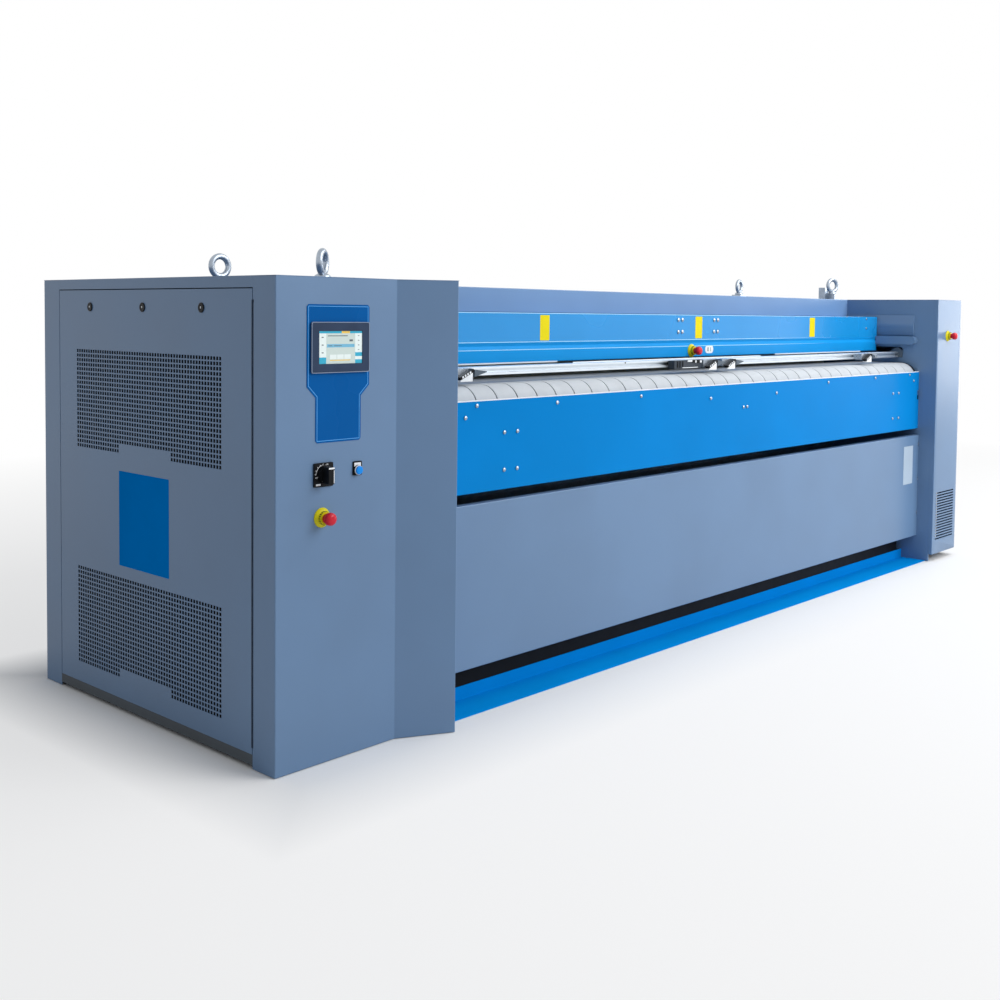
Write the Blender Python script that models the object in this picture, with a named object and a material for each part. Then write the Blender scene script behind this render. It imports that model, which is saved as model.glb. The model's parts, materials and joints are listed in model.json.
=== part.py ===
"""Industrial chest ironer for flat linen, as an assembly of named parts.

Metres, +Z up, -Y is the side where linen is fed in. Every size below is written in
machine measures: x from the outer face of the left end, y from its flat front face
towards the back, z from the floor. One empty carries the whole machine and sets the
origin under the middle of its outer box.
"""
import math

import bmesh
import bpy
from mathutils import Matrix, Vector

for old in list(bpy.data.objects):
    bpy.data.objects.remove(old, do_unlink=True)

# Clearances and sheet gauges
FIT = 0.0003
SEAM = 0.003
SHEET = 0.002
PLATE = 0.010
OVERRUN = 0.010
WELD = 0.001
MERGE = 0.00001
SMOOTH_ANGLE = math.radians(40)
FLAT_ANGLE = math.radians(0.2)

# Whole machine
HEIGHT = 1.350
CLEAR_WIDTH = 3.508
DEPTH = 1.2745
LEFT_END_WIDTH = 0.597
LEFT_FACE_WIDTH = 0.4304
WING_REACH = 0.088
RIGHT_END_WIDTH = 0.289
RIGHT_END_FORWARD = 0.055
COVER_LIFT = 0.002
COVER_LIP = 0.020

LEFT_WALL = LEFT_END_WIDTH
RIGHT_WALL = LEFT_WALL + CLEAR_WIDTH
RIGHT_SIDE = RIGHT_WALL + RIGHT_END_WIDTH
COVER_TOP = HEIGHT - SHEET - FIT
INNER_LEFT = LEFT_WALL + FIT
INNER_RIGHT = RIGHT_WALL - FIT

# Left end: posts, header and sill round the removable side panel
POST_FRONT = 0.100
POST_REAR = 0.1045
HEADER_DROP = 0.032
SILL_BOTTOM = 0.012
SILL_TOP = 0.0415
PANEL_RETURN = 0.018
PANEL_SHEET = 0.0015

# Vents in the side panel: the real perforation drawn five times as coarse
VENT_PITCH = 0.0725
VENT_HOLE = 0.0525
VENT_ROWS = 4
VENT_STEP_COLUMNS = 4
VENT_STEP_HOLE = 0.025
VENT_FRONT_MARGIN = 0.160
VENT_REAR_MARGIN = 0.120
UPPER_VENT_DROP = 0.188
LOWER_VENT_BOTTOM = 0.109

# Quarter-turn locks of the side panel
LOCK_COUNT = 3
LOCK_HEAD_RADIUS = 0.0142
LOCK_PROUD = 0.0035
LOCK_SHAFT_RADIUS = 0.0095
LOCK_SHAFT_LENGTH = 0.010
LOCK_DROP = 0.053
LOCK_FRONT_MARGIN = 0.241
LOCK_REAR_MARGIN = 0.199
LOCK_TONGUE_LENGTH = 0.034
LOCK_TONGUE_WIDTH = 0.012
LOCK_TONGUE_THICK = 0.003
LOCK_SLOT_WIDTH = 0.004
LOCK_SLOT_DEPTH = 0.0015

# Louvres in the right front cover
LOUVRE_COUNT = 18
LOUVRE_PITCH = 0.014
LOUVRE_OPEN = 0.007
LOUVRE_BOTTOM = 0.110
LOUVRE_SIDE_MARGIN = 0.034
RIGHT_FRONT_BOTTOM = 0.038

# Hood and front beam
HOOD_FRONT = 0.445
HOOD_LIP = 0.030
HOOD_REAR_FLANGE = 0.040
BEAM_FRONT = 0.267
BEAM_TOP_DROP = 0.091
BEAM_BOTTOM_DROP = 0.268
BEAM_CREASE_HIGH_DROP = 0.197
BEAM_CREASE_LOW_DROP = 0.222
BEAM_CREASE_DEPTH = 0.005
BEAM_BOTTOM_RETURN = 0.050

# Feed guides on the two inner walls
GUIDE_FRONT = 0.070
GUIDE_REAR = 0.440
GUIDE_LOW_DROP = 0.185
GUIDE_HIGH_DROP = 0.081
GUIDE_RIDGE_DROP = 0.133
GUIDE_THICK = 0.0145
GUIDE_EDGE = 0.005
NOSE_FRONT = 0.051
NOSE_LOW_DROP = 0.232
NOSE_HIGH_DROP = 0.19
NOSE_THICK = 0.030
NOSE_STEPS = 6

# Front panels and kick plate
GUARD_FRONT = 0.037
GUARD_LOW_DROP = 0.665
GUARD_HIGH_DROP = 0.372
GUARD_RETURN = 0.025
APRON_FRONT = 0.030
APRON_LOW = 0.128
APRON_HIGH_DROP = 0.698
APRON_RETURN = 0.028
KICK_FACE = 0.109
KICK_HIGH = 0.047
KICK_FLOOR = 0.004
KICK_SHEET = 0.003
KICK_REACH = 0.129
KICK_CHAMFER = 0.030

# Rear panels, their rails, and the beam and ribs under the chest
REAR_PANEL_COUNT = 3
REAR_PANEL_LOW = 0.090
RAIL_LOW_BASE = 0.100
REAR_RAIL_DEEP = 0.040
REAR_RAIL_HIGH = 0.060
REAR_RAIL_TOP_DROP = 0.05
TUBE_WALL = 0.005
CROSS_BEAM_DEEP = 0.160
CROSS_BEAM_HIGH = 0.120
RIB_COUNT = 9
RIB_THICK = 0.010
RIB_STAND = 0.045

# Base runners and levelling feet
RUNNER_SIZE = 0.050
RUNNER_WALL = 0.004
RUNNER_LOW = 0.024
FOOT_RADIUS = 0.034
FOOT_PAD = 0.008
FOOT_STEM_RADIUS = 0.010
FOOT_INSET = 0.120
FOOT_SEGMENTS = 8

# Ironing roll and heated chest
ROLL_Y_INSET = 0.4745
ROLL_Z_DROP = 0.55
ROLL_RADIUS = 0.350
PADDING = 0.012
ROLL_WALL = 0.008
ROLL_DISC = 0.012
ROLL_END_GAP = 0.098
ROLL_SEGMENTS = 24
JOURNAL_RADIUS = 0.055
JOURNAL_BORE = 0.035
JOURNAL_PLAY = 0.0005
FRAME_BORE = 0.062
NIP = 0.0006
CHEST_THICK = 0.045
CHEST_STEPS = 16
CHEST_END_GAP = 0.070
CHEST_LIP_REACH = 0.018
CHEST_LIP_RISE = 0.030

# Bearings, gearbox and motors
BEARING_RADIUS = 0.115
BEARING_THICK = 0.050
BEARING_SEGMENTS = 12
GEARBOX_THICK = 0.110
GEARBOX_RADIUS = 0.145
GEARBOX_DROP = 0.230
GEARBOX_FOOT = 0.080
GEARBOX_STEPS = 8
JOURNAL_PROUD = 0.015
MOTOR_SEGMENTS = 10
ROLL_MOTOR_RADIUS = 0.075
ROLL_MOTOR_LENGTH = 0.270
FEED_MOTOR_RADIUS = 0.058
FEED_MOTOR_LENGTH = 0.190
FAN_MOTOR_RADIUS = 0.062
FAN_MOTOR_LENGTH = 0.130
MOTOR_FLANGE = 0.012
MOTOR_FLANGE_EDGE = 0.014
MOTOR_COWL = 0.030
MOTOR_COWL_EDGE = 0.005

# Exhaust fan and rear connections
FAN_X = 0.060
FAN_WIDTH = 0.150
FAN_Y_INSET = 0.3445
FAN_Z = 0.420
FAN_INNER = 0.170
FAN_GROWTH = 0.080
FAN_STEPS = 14
FAN_INLET = 0.100
IMPELLER_RADIUS = 0.150
IMPELLER_HUB = 0.040
IMPELLER_WIDTH = 0.090
IMPELLER_BLADES = 10
IMPELLER_BLADE_THICK = 0.006
IMPELLER_SHAFT = 0.014
COLLAR_RADIUS = 0.070
COLLAR_WALL = 0.003
COLLAR_REACH = 0.060
COLLAR_FLANGE = 0.025
COLLAR_FLANGE_THICK = 0.003
COLLAR_SEGMENTS = 16
PIPE_RADIUS = 0.017
PIPE_HOLE = 0.021
PIPE_REACH = 0.045
PIPE_BEND = 0.050
PIPE_BEND_STEPS = 3
PIPE_INSETS = (0.175, 0.085)
PIPE_SIDES = 8
PIPE_STEP_INDEXES = (5, 11)

# Electrical box behind the front face of the left end
CABINET_LEFT = 0.060
CABINET_WIDTH = 0.300
CABINET_DEEP = 0.150
CABINET_LOW = 0.450
CABINET_HIGH_DROP = 0.06

# Feed belts, rollers and bed
BELT_COUNT = 40
BELT_PITCH = 0.0865
BELT_GAP = 0.004
BELT_THICK = 0.003
BELT_TOP_DROP = 0.328
NOSE_ROLLER_Y = 0.128
NOSE_ROLLER_RADIUS = 0.0735
TAIL_ROLLER_Y = 0.370
TAIL_ROLLER_RADIUS = 0.045
NOSE_ARC_STEPS = 5
TAIL_ARC_STEPS = 3
ROLLER_SEGMENTS = 12
ROLLER_WALL = 0.005
ROLLER_DISC = 0.010
ROLLER_END_GAP = 0.022
SPINDLE_RADIUS = 0.0175
SPINDLE_BORE = 0.006
SPINDLE_PLAY = 0.0005
SPINDLE_HOLE_PLAY = 0.004
SPINDLE_BEARING = 0.045
SPINDLE_BEARING_THICK = 0.024
SPINDLE_SEGMENTS = 8
BED_FRONT = 0.214
BED_REAR = 0.316
BED_DROP = 0.030

# Clamp rail, carriages and jaws
RAIL_FRONT = 0.150
RAIL_DEEP = 0.050
RAIL_LOW_DROP = 0.3
RAIL_HIGH_DROP = 0.272
RAIL_GROOVE_LOW_DROP = 0.292
RAIL_GROOVE_HIGH_DROP = 0.28
RAIL_GROOVE_DEEP = 0.014
RAIL_TRAVEL = 0.120
ARM_CLEAR = 0.002
ARM_THICK = 0.009
ARM_DEEP = 0.034
ARM_HIGH_DROP = 0.249
ROD_RADIUS = 0.010
ROD_PROUD = 0.012
SLOT_LOW_DROP = 0.274
SLOT_HIGH_DROP = 0.246
SLOT_FRONT = 0.128
SLOT_STEPS = 5
ROD_SEGMENTS = 10
DRIVE_CLAMP = 1
DRIVE_BLOCK_REACH = 0.240
DRIVE_BLOCK_DEEP = 0.030
DRIVE_BLOCK_DROP = 0.006
CLAMP_LEFT_INSET = 0.223
CLAMP_CENTRE_INSET = 1.853
CLAMP_PAIR_STEP = 0.140
CLAMP_RIGHT_INSET = 0.455
CARRIAGE_WIDTH = 0.086
CARRIAGE_DEEP = 0.036
CARRIAGE_LOW_DROP = 0.303
CARRIAGE_HIGH_DROP = 0.2725
CARRIAGE_TONGUE = 0.010
CLAMP_THICK = 0.018
CLAMP_WIDTH = 0.056
CLAMP_LOW_DROP = 0.314
CLAMP_TIP = 0.004
CLAMP_RISE = 0.024
JAW_THICK = 0.010
JAW_WINDOWS = 4
JAW_WINDOW_SIZE = 0.005
JAW_END = 0.006
TAPER_LENGTH = 0.057
TAPER_ROOT_LOW_DROP = 0.3
TAPER_ROOT_HIGH_DROP = 0.276
TAPER_TIP_LOW_DROP = 0.286
TAPER_TIP_HIGH_DROP = 0.283

# Operator devices
OVERLAY_THICK = 0.001
OVERLAY_LEFT = 0.103
OVERLAY_RIGHT = 0.325
OVERLAY_HIGH_DROP = 0.0755
OVERLAY_SHOULDER_DROP = 0.3
OVERLAY_TAPER = 0.030
OVERLAY_NECK_LEFT = 0.133
OVERLAY_NECK_RIGHT = 0.294
OVERLAY_LOW_DROP = 0.455
OVERLAY_CORNER = 0.006
SCREEN_PANEL_LEFT = 0.115
SCREEN_PANEL_WIDTH = 0.205
SCREEN_PANEL_LOW_DROP = 0.263
SCREEN_PANEL_HEIGHT = 0.139
SCREEN_PANEL_THICK = 0.006
SCREEN_PANEL_CORNER = 0.005
SCREEN_WIDTH = 0.154
SCREEN_HEIGHT = 0.0905
SCREEN_THICK = 0.004
MAIN_X = 0.1595
MAIN_Z_DROP = 0.5425
MAIN_PLATE = 0.066
MAIN_PLATE_THICK = 0.005
MAIN_KNOB_RADIUS = 0.021
MAIN_KNOB_DEEP = 0.010
MAIN_GRIP_WIDTH = 0.020
MAIN_GRIP_HIGH = 0.047
MAIN_GRIP_REACH = 0.034
RESET_LEFT = 0.266
RESET_WIDTH = 0.032
RESET_LOW_DROP = 0.555
RESET_HEIGHT = 0.040
RESET_PLATE_THICK = 0.003
RESET_Z_DROP = 0.54
RESET_BUTTON_RADIUS = 0.012
RESET_BUTTON_PROUD = 0.007
RESET_BEZEL_RADIUS = 0.0145
RESET_BEZEL_HIGH = 0.004
RESET_TRAVEL = 0.003
ESTOP_LEFT_X = 0.157
ESTOP_LEFT_DROP = 0.661
ESTOP_CENTRE_INSET = 1.755
ESTOP_CENTRE_DROP = 0.242
ESTOP_RIGHT_INSET = 0.164
ESTOP_RIGHT_DROP = 0.186
ESTOP_RING_RADIUS = 0.030
ESTOP_RING_HIGH = 0.008
ESTOP_COLLAR_RADIUS = 0.0195
ESTOP_COLLAR_HIGH = 0.018
ESTOP_HOLE = 0.0125
ESTOP_STEM = 0.0120
ESTOP_STEM_START = 0.002
ESTOP_CAP_RADIUS = 0.020
ESTOP_CAP_LOW = 0.026
ESTOP_CAP_EDGE = 0.040
ESTOP_CAP_TOP = 0.050
ESTOP_CAP_CROWN = 0.013
ESTOP_TRAVEL = 0.005
ESTOP_SEGMENTS = 12
BUTTON_SEGMENTS = 12

# Lifting eyes
EYE_RADIUS = 0.035
EYE_BAR = 0.010
EYE_COLLAR_RADIUS = 0.024
EYE_COLLAR_HIGH = 0.014
EYE_STEPS = 12
EYE_BAR_SIDES = 6
EYE_PAD_HIGH = 0.030
EYE_PAD_SIZE = 0.060
EYE_LEFT_FRONT_X = 0.310
EYE_LEFT_FRONT_Y = 0.190
EYE_LEFT_FRONT_TURN = math.radians(34)
EYE_LEFT_REAR_X = 0.330
EYE_LEFT_REAR_Y = 0.740
EYE_RIGHT_SIDE_INSET = 0.204
EYE_RIGHT_MIDDLE_INSET = 0.6945
EYE_RIGHT_MIDDLE_TURN = math.radians(-62)
EYE_RIGHT_REAR_INSET = 0.1045
EYE_RIGHT_REAR_TURN = math.radians(-2)

# Places that follow from the sizes above
BEAM_TOP = HEIGHT - BEAM_TOP_DROP
BEAM_BOTTOM = HEIGHT - BEAM_BOTTOM_DROP
BEAM_CREASE_HIGH = HEIGHT - BEAM_CREASE_HIGH_DROP
BEAM_CREASE_LOW = HEIGHT - BEAM_CREASE_LOW_DROP
GUIDE_LOW = HEIGHT - GUIDE_LOW_DROP
GUIDE_HIGH = HEIGHT - GUIDE_HIGH_DROP
GUIDE_RIDGE = HEIGHT - GUIDE_RIDGE_DROP
NOSE_LOW = HEIGHT - NOSE_LOW_DROP
NOSE_HIGH = HEIGHT - NOSE_HIGH_DROP
GUARD_LOW = HEIGHT - GUARD_LOW_DROP
GUARD_HIGH = HEIGHT - GUARD_HIGH_DROP
APRON_HIGH = HEIGHT - APRON_HIGH_DROP
REAR_RAIL_TOP = HEIGHT - REAR_RAIL_TOP_DROP
ROLL_Z = HEIGHT - ROLL_Z_DROP
CABINET_HIGH = HEIGHT - CABINET_HIGH_DROP
BELT_TOP = HEIGHT - BELT_TOP_DROP
RAIL_LOW = HEIGHT - RAIL_LOW_DROP
RAIL_HIGH = HEIGHT - RAIL_HIGH_DROP
RAIL_GROOVE_LOW = HEIGHT - RAIL_GROOVE_LOW_DROP
RAIL_GROOVE_HIGH = HEIGHT - RAIL_GROOVE_HIGH_DROP
ARM_HIGH = HEIGHT - ARM_HIGH_DROP
SLOT_LOW = HEIGHT - SLOT_LOW_DROP
SLOT_HIGH = HEIGHT - SLOT_HIGH_DROP
CARRIAGE_LOW = HEIGHT - CARRIAGE_LOW_DROP
CARRIAGE_HIGH = HEIGHT - CARRIAGE_HIGH_DROP
CLAMP_LOW = HEIGHT - CLAMP_LOW_DROP
TAPER_ROOT_LOW = HEIGHT - TAPER_ROOT_LOW_DROP
TAPER_ROOT_HIGH = HEIGHT - TAPER_ROOT_HIGH_DROP
TAPER_TIP_LOW = HEIGHT - TAPER_TIP_LOW_DROP
TAPER_TIP_HIGH = HEIGHT - TAPER_TIP_HIGH_DROP
OVERLAY_HIGH = HEIGHT - OVERLAY_HIGH_DROP
OVERLAY_SHOULDER = HEIGHT - OVERLAY_SHOULDER_DROP
OVERLAY_LOW = HEIGHT - OVERLAY_LOW_DROP
SCREEN_PANEL_LOW = HEIGHT - SCREEN_PANEL_LOW_DROP
MAIN_Z = HEIGHT - MAIN_Z_DROP
RESET_LOW = HEIGHT - RESET_LOW_DROP
RESET_Z = HEIGHT - RESET_Z_DROP
ROLL_Y = DEPTH - ROLL_Y_INSET
FAN_Y = DEPTH - FAN_Y_INSET
CLAMP_CENTRE = RIGHT_WALL - CLAMP_CENTRE_INSET
CLAMP_POSITIONS = (LEFT_WALL + CLAMP_LEFT_INSET, CLAMP_CENTRE, CLAMP_CENTRE + CLAMP_PAIR_STEP,
                   RIGHT_WALL - CLAMP_RIGHT_INSET)
ESTOP_PLACES = (("left", ESTOP_LEFT_X, HEIGHT - ESTOP_LEFT_DROP),
                ("centre", RIGHT_WALL - ESTOP_CENTRE_INSET, HEIGHT - ESTOP_CENTRE_DROP),
                ("right", RIGHT_SIDE - ESTOP_RIGHT_INSET, HEIGHT - ESTOP_RIGHT_DROP))
EYE_RIGHT_X = RIGHT_SIDE - EYE_RIGHT_SIDE_INSET
EYE_PLACES = ((EYE_LEFT_FRONT_X, EYE_LEFT_FRONT_Y, EYE_LEFT_FRONT_TURN, 0),
              (EYE_LEFT_REAR_X, EYE_LEFT_REAR_Y, 0, 0),
              (EYE_RIGHT_X, DEPTH - EYE_RIGHT_MIDDLE_INSET, EYE_RIGHT_MIDDLE_TURN, 1),
              (EYE_RIGHT_X, DEPTH - EYE_RIGHT_REAR_INSET, EYE_RIGHT_REAR_TURN, 1))
BELT_INNER_TOP = BELT_TOP - BELT_THICK
NOSE_ROLLER_Z = BELT_INNER_TOP - FIT - NOSE_ROLLER_RADIUS
TAIL_ROLLER_Z = BELT_INNER_TOP - FIT - TAIL_ROLLER_RADIUS
ROD_Z = SLOT_LOW + FIT + ROD_RADIUS
SLOT_END = (SLOT_HIGH - SLOT_LOW) / 2
ROD_Y = SLOT_FRONT + SLOT_END + SEAM
CHEST_INNER = ROLL_RADIUS + NIP
CHEST_OUTER = CHEST_INNER + CHEST_THICK
CHEST_HALF_STEP = math.pi / CHEST_STEPS / 2
FRAME_REAR = DEPTH - COVER_LIP - FIT
PANEL_FRONT_Y = POST_FRONT + SEAM
PANEL_REAR_Y = DEPTH - POST_REAR - SEAM
PANEL_LOW = SILL_TOP + FIT
PANEL_HIGH = HEIGHT - HEADER_DROP - SEAM
VENT_WEB = VENT_PITCH - VENT_HOLE
VENT_FRONT = PANEL_FRONT_Y + VENT_FRONT_MARGIN
VENT_ROOM = PANEL_REAR_Y - VENT_REAR_MARGIN - VENT_FRONT
VENT_COLUMNS = int((VENT_ROOM + VENT_WEB) / VENT_PITCH)
UPPER_VENT_TOP = PANEL_HIGH - UPPER_VENT_DROP
LOCK_HEIGHT = PANEL_HIGH - LOCK_DROP
LOCK_FIRST = PANEL_FRONT_Y + LOCK_FRONT_MARGIN
LOCK_SPACING = (PANEL_REAR_Y - LOCK_REAR_MARGIN - LOCK_FIRST) / (LOCK_COUNT - 1)
BOX_LEFT = -LOCK_PROUD
BOX_RIGHT = RIGHT_SIDE
BOX_FRONT = -RIGHT_END_FORWARD - ESTOP_CAP_TOP - FIT
BOX_REAR = DEPTH + COLLAR_REACH

machine = bpy.data.objects.new("machine", None)
bpy.context.scene.collection.objects.link(machine)
machine.location = (-(BOX_LEFT + BOX_RIGHT) / 2, -(BOX_FRONT + BOX_REAR) / 2, 0)


# Materials

def linear(hex_colour):
    """One sRGB hex colour as linear red, green, blue and full alpha."""
    channels = [int(hex_colour[i:i + 2], 16) / 255 for i in (1, 3, 5)]
    straight = [c / 12.92 if c <= 0.04045 else ((c + 0.055) / 1.055) ** 2.4 for c in channels]
    return (*straight, 1.0)


def finish_of(name, hex_colour, roughness, metallic=0.0):
    """A plain material: a Principled shader with the finish's colour and gloss."""
    mat = bpy.data.materials.new(name)
    mat.use_nodes = True
    shader = mat.node_tree.nodes["Principled BSDF"]
    shader.inputs["Base Color"].default_value = linear(hex_colour)
    shader.inputs["Roughness"].default_value = roughness
    shader.inputs["Metallic"].default_value = metallic
    return mat


GREY_PAINT = finish_of("grey_blue_powder_coat", "#71869F", 0.38)
BLUE_PAINT = finish_of("bright_blue_powder_coat", "#1586DB", 0.35)
BLUE_FILM = finish_of("printed_blue_overlay_film", "#0561AE", 0.30)
BLACK_PLASTIC = finish_of("black_moulded_plastic", "#15171A", 0.45)
SLATE_PLASTIC = finish_of("slate_moulded_bezel", "#3B4A62", 0.40)
SCREEN_GLASS = finish_of("touch_screen_glass", "#E6F0F4", 0.15)
YELLOW_PLASTIC = finish_of("yellow_moulded_plastic", "#E0D21A", 0.40)
RED_PLASTIC = finish_of("red_moulded_plastic", "#CC2436", 0.35)
BLUE_PLASTIC = finish_of("blue_moulded_plastic", "#1E78D0", 0.35)
ZINC = finish_of("zinc_plated_steel", "#C4CDD2", 0.35, 1.0)
ALUMINIUM = finish_of("anodised_aluminium", "#C9CED3", 0.35, 1.0)
BARE_STEEL = finish_of("machined_steel", "#8E9296", 0.40, 1.0)
CAST_IRON = finish_of("painted_cast_iron", "#3E464D", 0.55)
GALVANISED = finish_of("galvanised_sheet", "#A9B0B5", 0.45, 1.0)
BELT_CLOTH = finish_of("woven_polyester_belt", "#E4E6EE", 0.75)
ROLL_CLOTH = finish_of("needled_aramid_felt", "#D8CDAE", 0.90)


# Mesh helpers

def spot(axis, u, v, w):
    """A point from its place in a section (u, v) and its place w along the axis."""
    if axis == "X":
        return (w, u, v)
    if axis == "Y":
        return (u, w, v)
    return (u, v, w)


def turn_outwards(bm, first):
    """Makes the faces of the body that starts at one face point out of it."""
    faces = list(bm.faces)[first:]
    bmesh.ops.recalc_face_normals(bm, faces=faces)
    volume = 0
    for face in faces:
        corners = [v.co for v in face.verts]
        for i in range(1, len(corners) - 1):
            volume += corners[0].dot(corners[i].cross(corners[i + 1]))
    if volume < 0:
        bmesh.ops.reverse_faces(bm, faces=faces)


def add_prism(bm, outline, axis, low, high):
    """A closed prism of one outline between two places along an axis."""
    first = len(bm.faces)
    near = [bm.verts.new(spot(axis, u, v, low)) for u, v in outline]
    far = [bm.verts.new(spot(axis, u, v, high)) for u, v in outline]
    bm.faces.new(near)
    bm.faces.new(far)
    for i in range(len(outline)):
        j = (i + 1) % len(outline)
        bm.faces.new((near[i], near[j], far[j], far[i]))
    turn_outwards(bm, first)


def add_plate(bm, outline, holes, axis, low, high):
    """A closed plate of one outline with holes in it."""
    first = len(bm.faces)
    rings = []
    for points in [outline] + holes:
        near = [bm.verts.new(spot(axis, u, v, low)) for u, v in points]
        far = [bm.verts.new(spot(axis, u, v, high)) for u, v in points]
        rings.append((near, far))
    for side in (0, 1):
        edges = []
        for ring in rings:
            loop = ring[side]
            for i in range(len(loop)):
                edges.append(bm.edges.new((loop[i], loop[(i + 1) % len(loop)])))
        bmesh.ops.triangle_fill(bm, edges=edges, use_beauty=True)
    for near, far in rings:
        for i in range(len(near)):
            j = (i + 1) % len(near)
            bm.faces.new((near[i], near[j], far[j], far[i]))
    turn_outwards(bm, first)


def add_box(bm, low, high):
    """A box between two corners."""
    outline = [(low[0], low[1]), (high[0], low[1]), (high[0], high[1]), (low[0], high[1])]
    add_prism(bm, outline, "Z", low[2], high[2])


def add_tube(bm, low, high, wall, axis):
    """A square or oblong tube, open at both ends, along one axis."""
    keep = {"X": (1, 2), "Y": (0, 2), "Z": (0, 1)}[axis]
    along = "XYZ".index(axis)
    u0, v0 = (low[k] for k in keep)
    u1, v1 = (high[k] for k in keep)
    outer = rectangle(u0, v0, u1, v1)
    inner = rectangle(u0 + wall, v0 + wall, u1 - wall, v1 - wall)
    add_plate(bm, outer, [inner], axis, low[along], high[along])


def add_turned(bm, profile, axis, centre, segments):
    """A closed turned body. The profile is (place along the axis, radius), in order."""
    first = len(bm.faces)
    columns = []
    for s in range(segments):
        angle = 2 * math.pi * s / segments
        column = []
        for along, radius in profile:
            u = centre[0] + radius * math.cos(angle)
            v = centre[1] + radius * math.sin(angle)
            column.append(bm.verts.new(spot(axis, u, v, along)))
        columns.append(column)
    for s in range(segments):
        here = columns[s]
        after = columns[(s + 1) % segments]
        for i in range(len(profile)):
            j = (i + 1) % len(profile)
            if profile[i][1] == 0 and profile[j][1] == 0:
                continue
            corners = [here[i], here[j], after[j], after[i]]
            if profile[i][1] == 0:
                corners = [here[i], here[j], after[j]]
            elif profile[j][1] == 0:
                corners = [here[i], here[j], after[i]]
            bm.faces.new(corners)
    bmesh.ops.remove_doubles(bm, verts=bm.verts, dist=MERGE)
    turn_outwards(bm, first)


def rectangle(u0, v0, u1, v1):
    """The four corners of a rectangle."""
    return [(u0, v0), (u1, v0), (u1, v1), (u0, v1)]


def round_rectangle(u0, v0, u1, v1, radius, steps=3):
    """A rectangle with round corners."""
    corners = ((u1 - radius, v0 + radius, -90), (u1 - radius, v1 - radius, 0),
               (u0 + radius, v1 - radius, 90), (u0 + radius, v0 + radius, 180))
    points = []
    for cu, cv, start in corners:
        for s in range(steps + 1):
            angle = math.radians(start + 90 * s / steps)
            points.append((cu + radius * math.cos(angle), cv + radius * math.sin(angle)))
    return points


def circle(centre, radius, segments):
    """A ring of points whose corners lie on the radius, for a pin or a disc."""
    turn = [2 * math.pi * s / segments for s in range(segments)]
    return [(centre[0] + radius * math.cos(a), centre[1] + radius * math.sin(a)) for a in turn]


def corner_radius(radius, segments):
    """The corner radius of a ring whose flats touch the given radius, for a bore."""
    return radius / math.cos(math.pi / segments)


def bore(centre, radius, segments):
    """A ring of points that leaves a full circle of the given radius open."""
    return circle(centre, corner_radius(radius, segments), segments)


def slot_outline(u0, u1, v0, v1, steps):
    """A slot with round ends, long in u."""
    radius = (v1 - v0) / 2
    middle = (v0 + v1) / 2
    points = []
    for s in range(steps + 1):
        angle = -math.pi / 2 + math.pi * s / steps
        points.append((u1 - radius + radius * math.cos(angle), middle + radius * math.sin(angle)))
    for s in range(steps + 1):
        angle = math.pi / 2 + math.pi * s / steps
        points.append((u0 + radius + radius * math.cos(angle), middle + radius * math.sin(angle)))
    return points


def offset_path(path, gauge):
    """A path set off to its left by a gauge, with mitred corners."""
    moved = []
    last = len(path) - 1
    for i, point in enumerate(path):
        here = Vector(point)
        normals = []
        if i > 0:
            step = (here - Vector(path[i - 1])).normalized()
            normals.append(Vector((-step.y, step.x)))
        if i < last:
            step = (Vector(path[i + 1]) - here).normalized()
            normals.append(Vector((-step.y, step.x)))
        mitre = sum(normals, Vector((0, 0))).normalized()
        moved.append(tuple(here + mitre * gauge / mitre.dot(normals[0])))
    return moved


def sheet_outline(path, gauge):
    """The section of a bent sheet: its outer path and its inner one."""
    return list(path) + offset_path(path, gauge)[::-1]


def add_pipe(bm, points, radius, sides):
    """A solid round pipe along a route that stays at one level."""
    first = len(bm.faces)
    rings = []
    for i, point in enumerate(points):
        before = Vector(points[max(i - 1, 0)])
        after = Vector(points[min(i + 1, len(points) - 1)])
        here = Vector(point)
        ahead = (after - here).normalized() if i < len(points) - 1 else (here - before).normalized()
        behind = (here - before).normalized() if i > 0 else ahead
        along = (ahead + behind).normalized()
        side = Vector((-along.y, along.x, 0)) / along.dot(ahead)
        ring = []
        for t in range(sides):
            angle = 2 * math.pi * t / sides
            place = here + side * radius * math.cos(angle)
            ring.append(bm.verts.new(place + Vector((0, 0, radius * math.sin(angle)))))
        rings.append(ring)
    for here, after in zip(rings, rings[1:]):
        for t in range(sides):
            u = (t + 1) % sides
            bm.faces.new((here[t], here[u], after[u], after[t]))
    bm.faces.new(rings[0])
    bm.faces.new(rings[-1])
    turn_outwards(bm, first)


def add_strip(bm, inner, outer, axis, low, high):
    """A closed band between two curves with as many points, drawn out along an axis."""
    first = len(bm.faces)
    rings = []
    for w in (low, high):
        rings.append([[bm.verts.new(spot(axis, u, v, w)) for u, v in side]
                      for side in (inner, outer)])
    (near_in, near_out), (far_in, far_out) = rings
    for i in range(len(inner) - 1):
        j = i + 1
        bm.faces.new((near_in[i], near_in[j], near_out[j], near_out[i]))
        bm.faces.new((far_in[i], far_in[j], far_out[j], far_out[i]))
        bm.faces.new((near_in[i], near_in[j], far_in[j], far_in[i]))
        bm.faces.new((near_out[i], near_out[j], far_out[j], far_out[i]))
    for i in (0, -1):
        bm.faces.new((near_in[i], near_out[i], far_out[i], far_in[i]))
    turn_outwards(bm, first)


def add_sheet(bm, path, gauge, axis, low, high):
    """A bent sheet that runs along an axis."""
    add_prism(bm, sheet_outline(path, gauge), axis, low, high)


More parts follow.
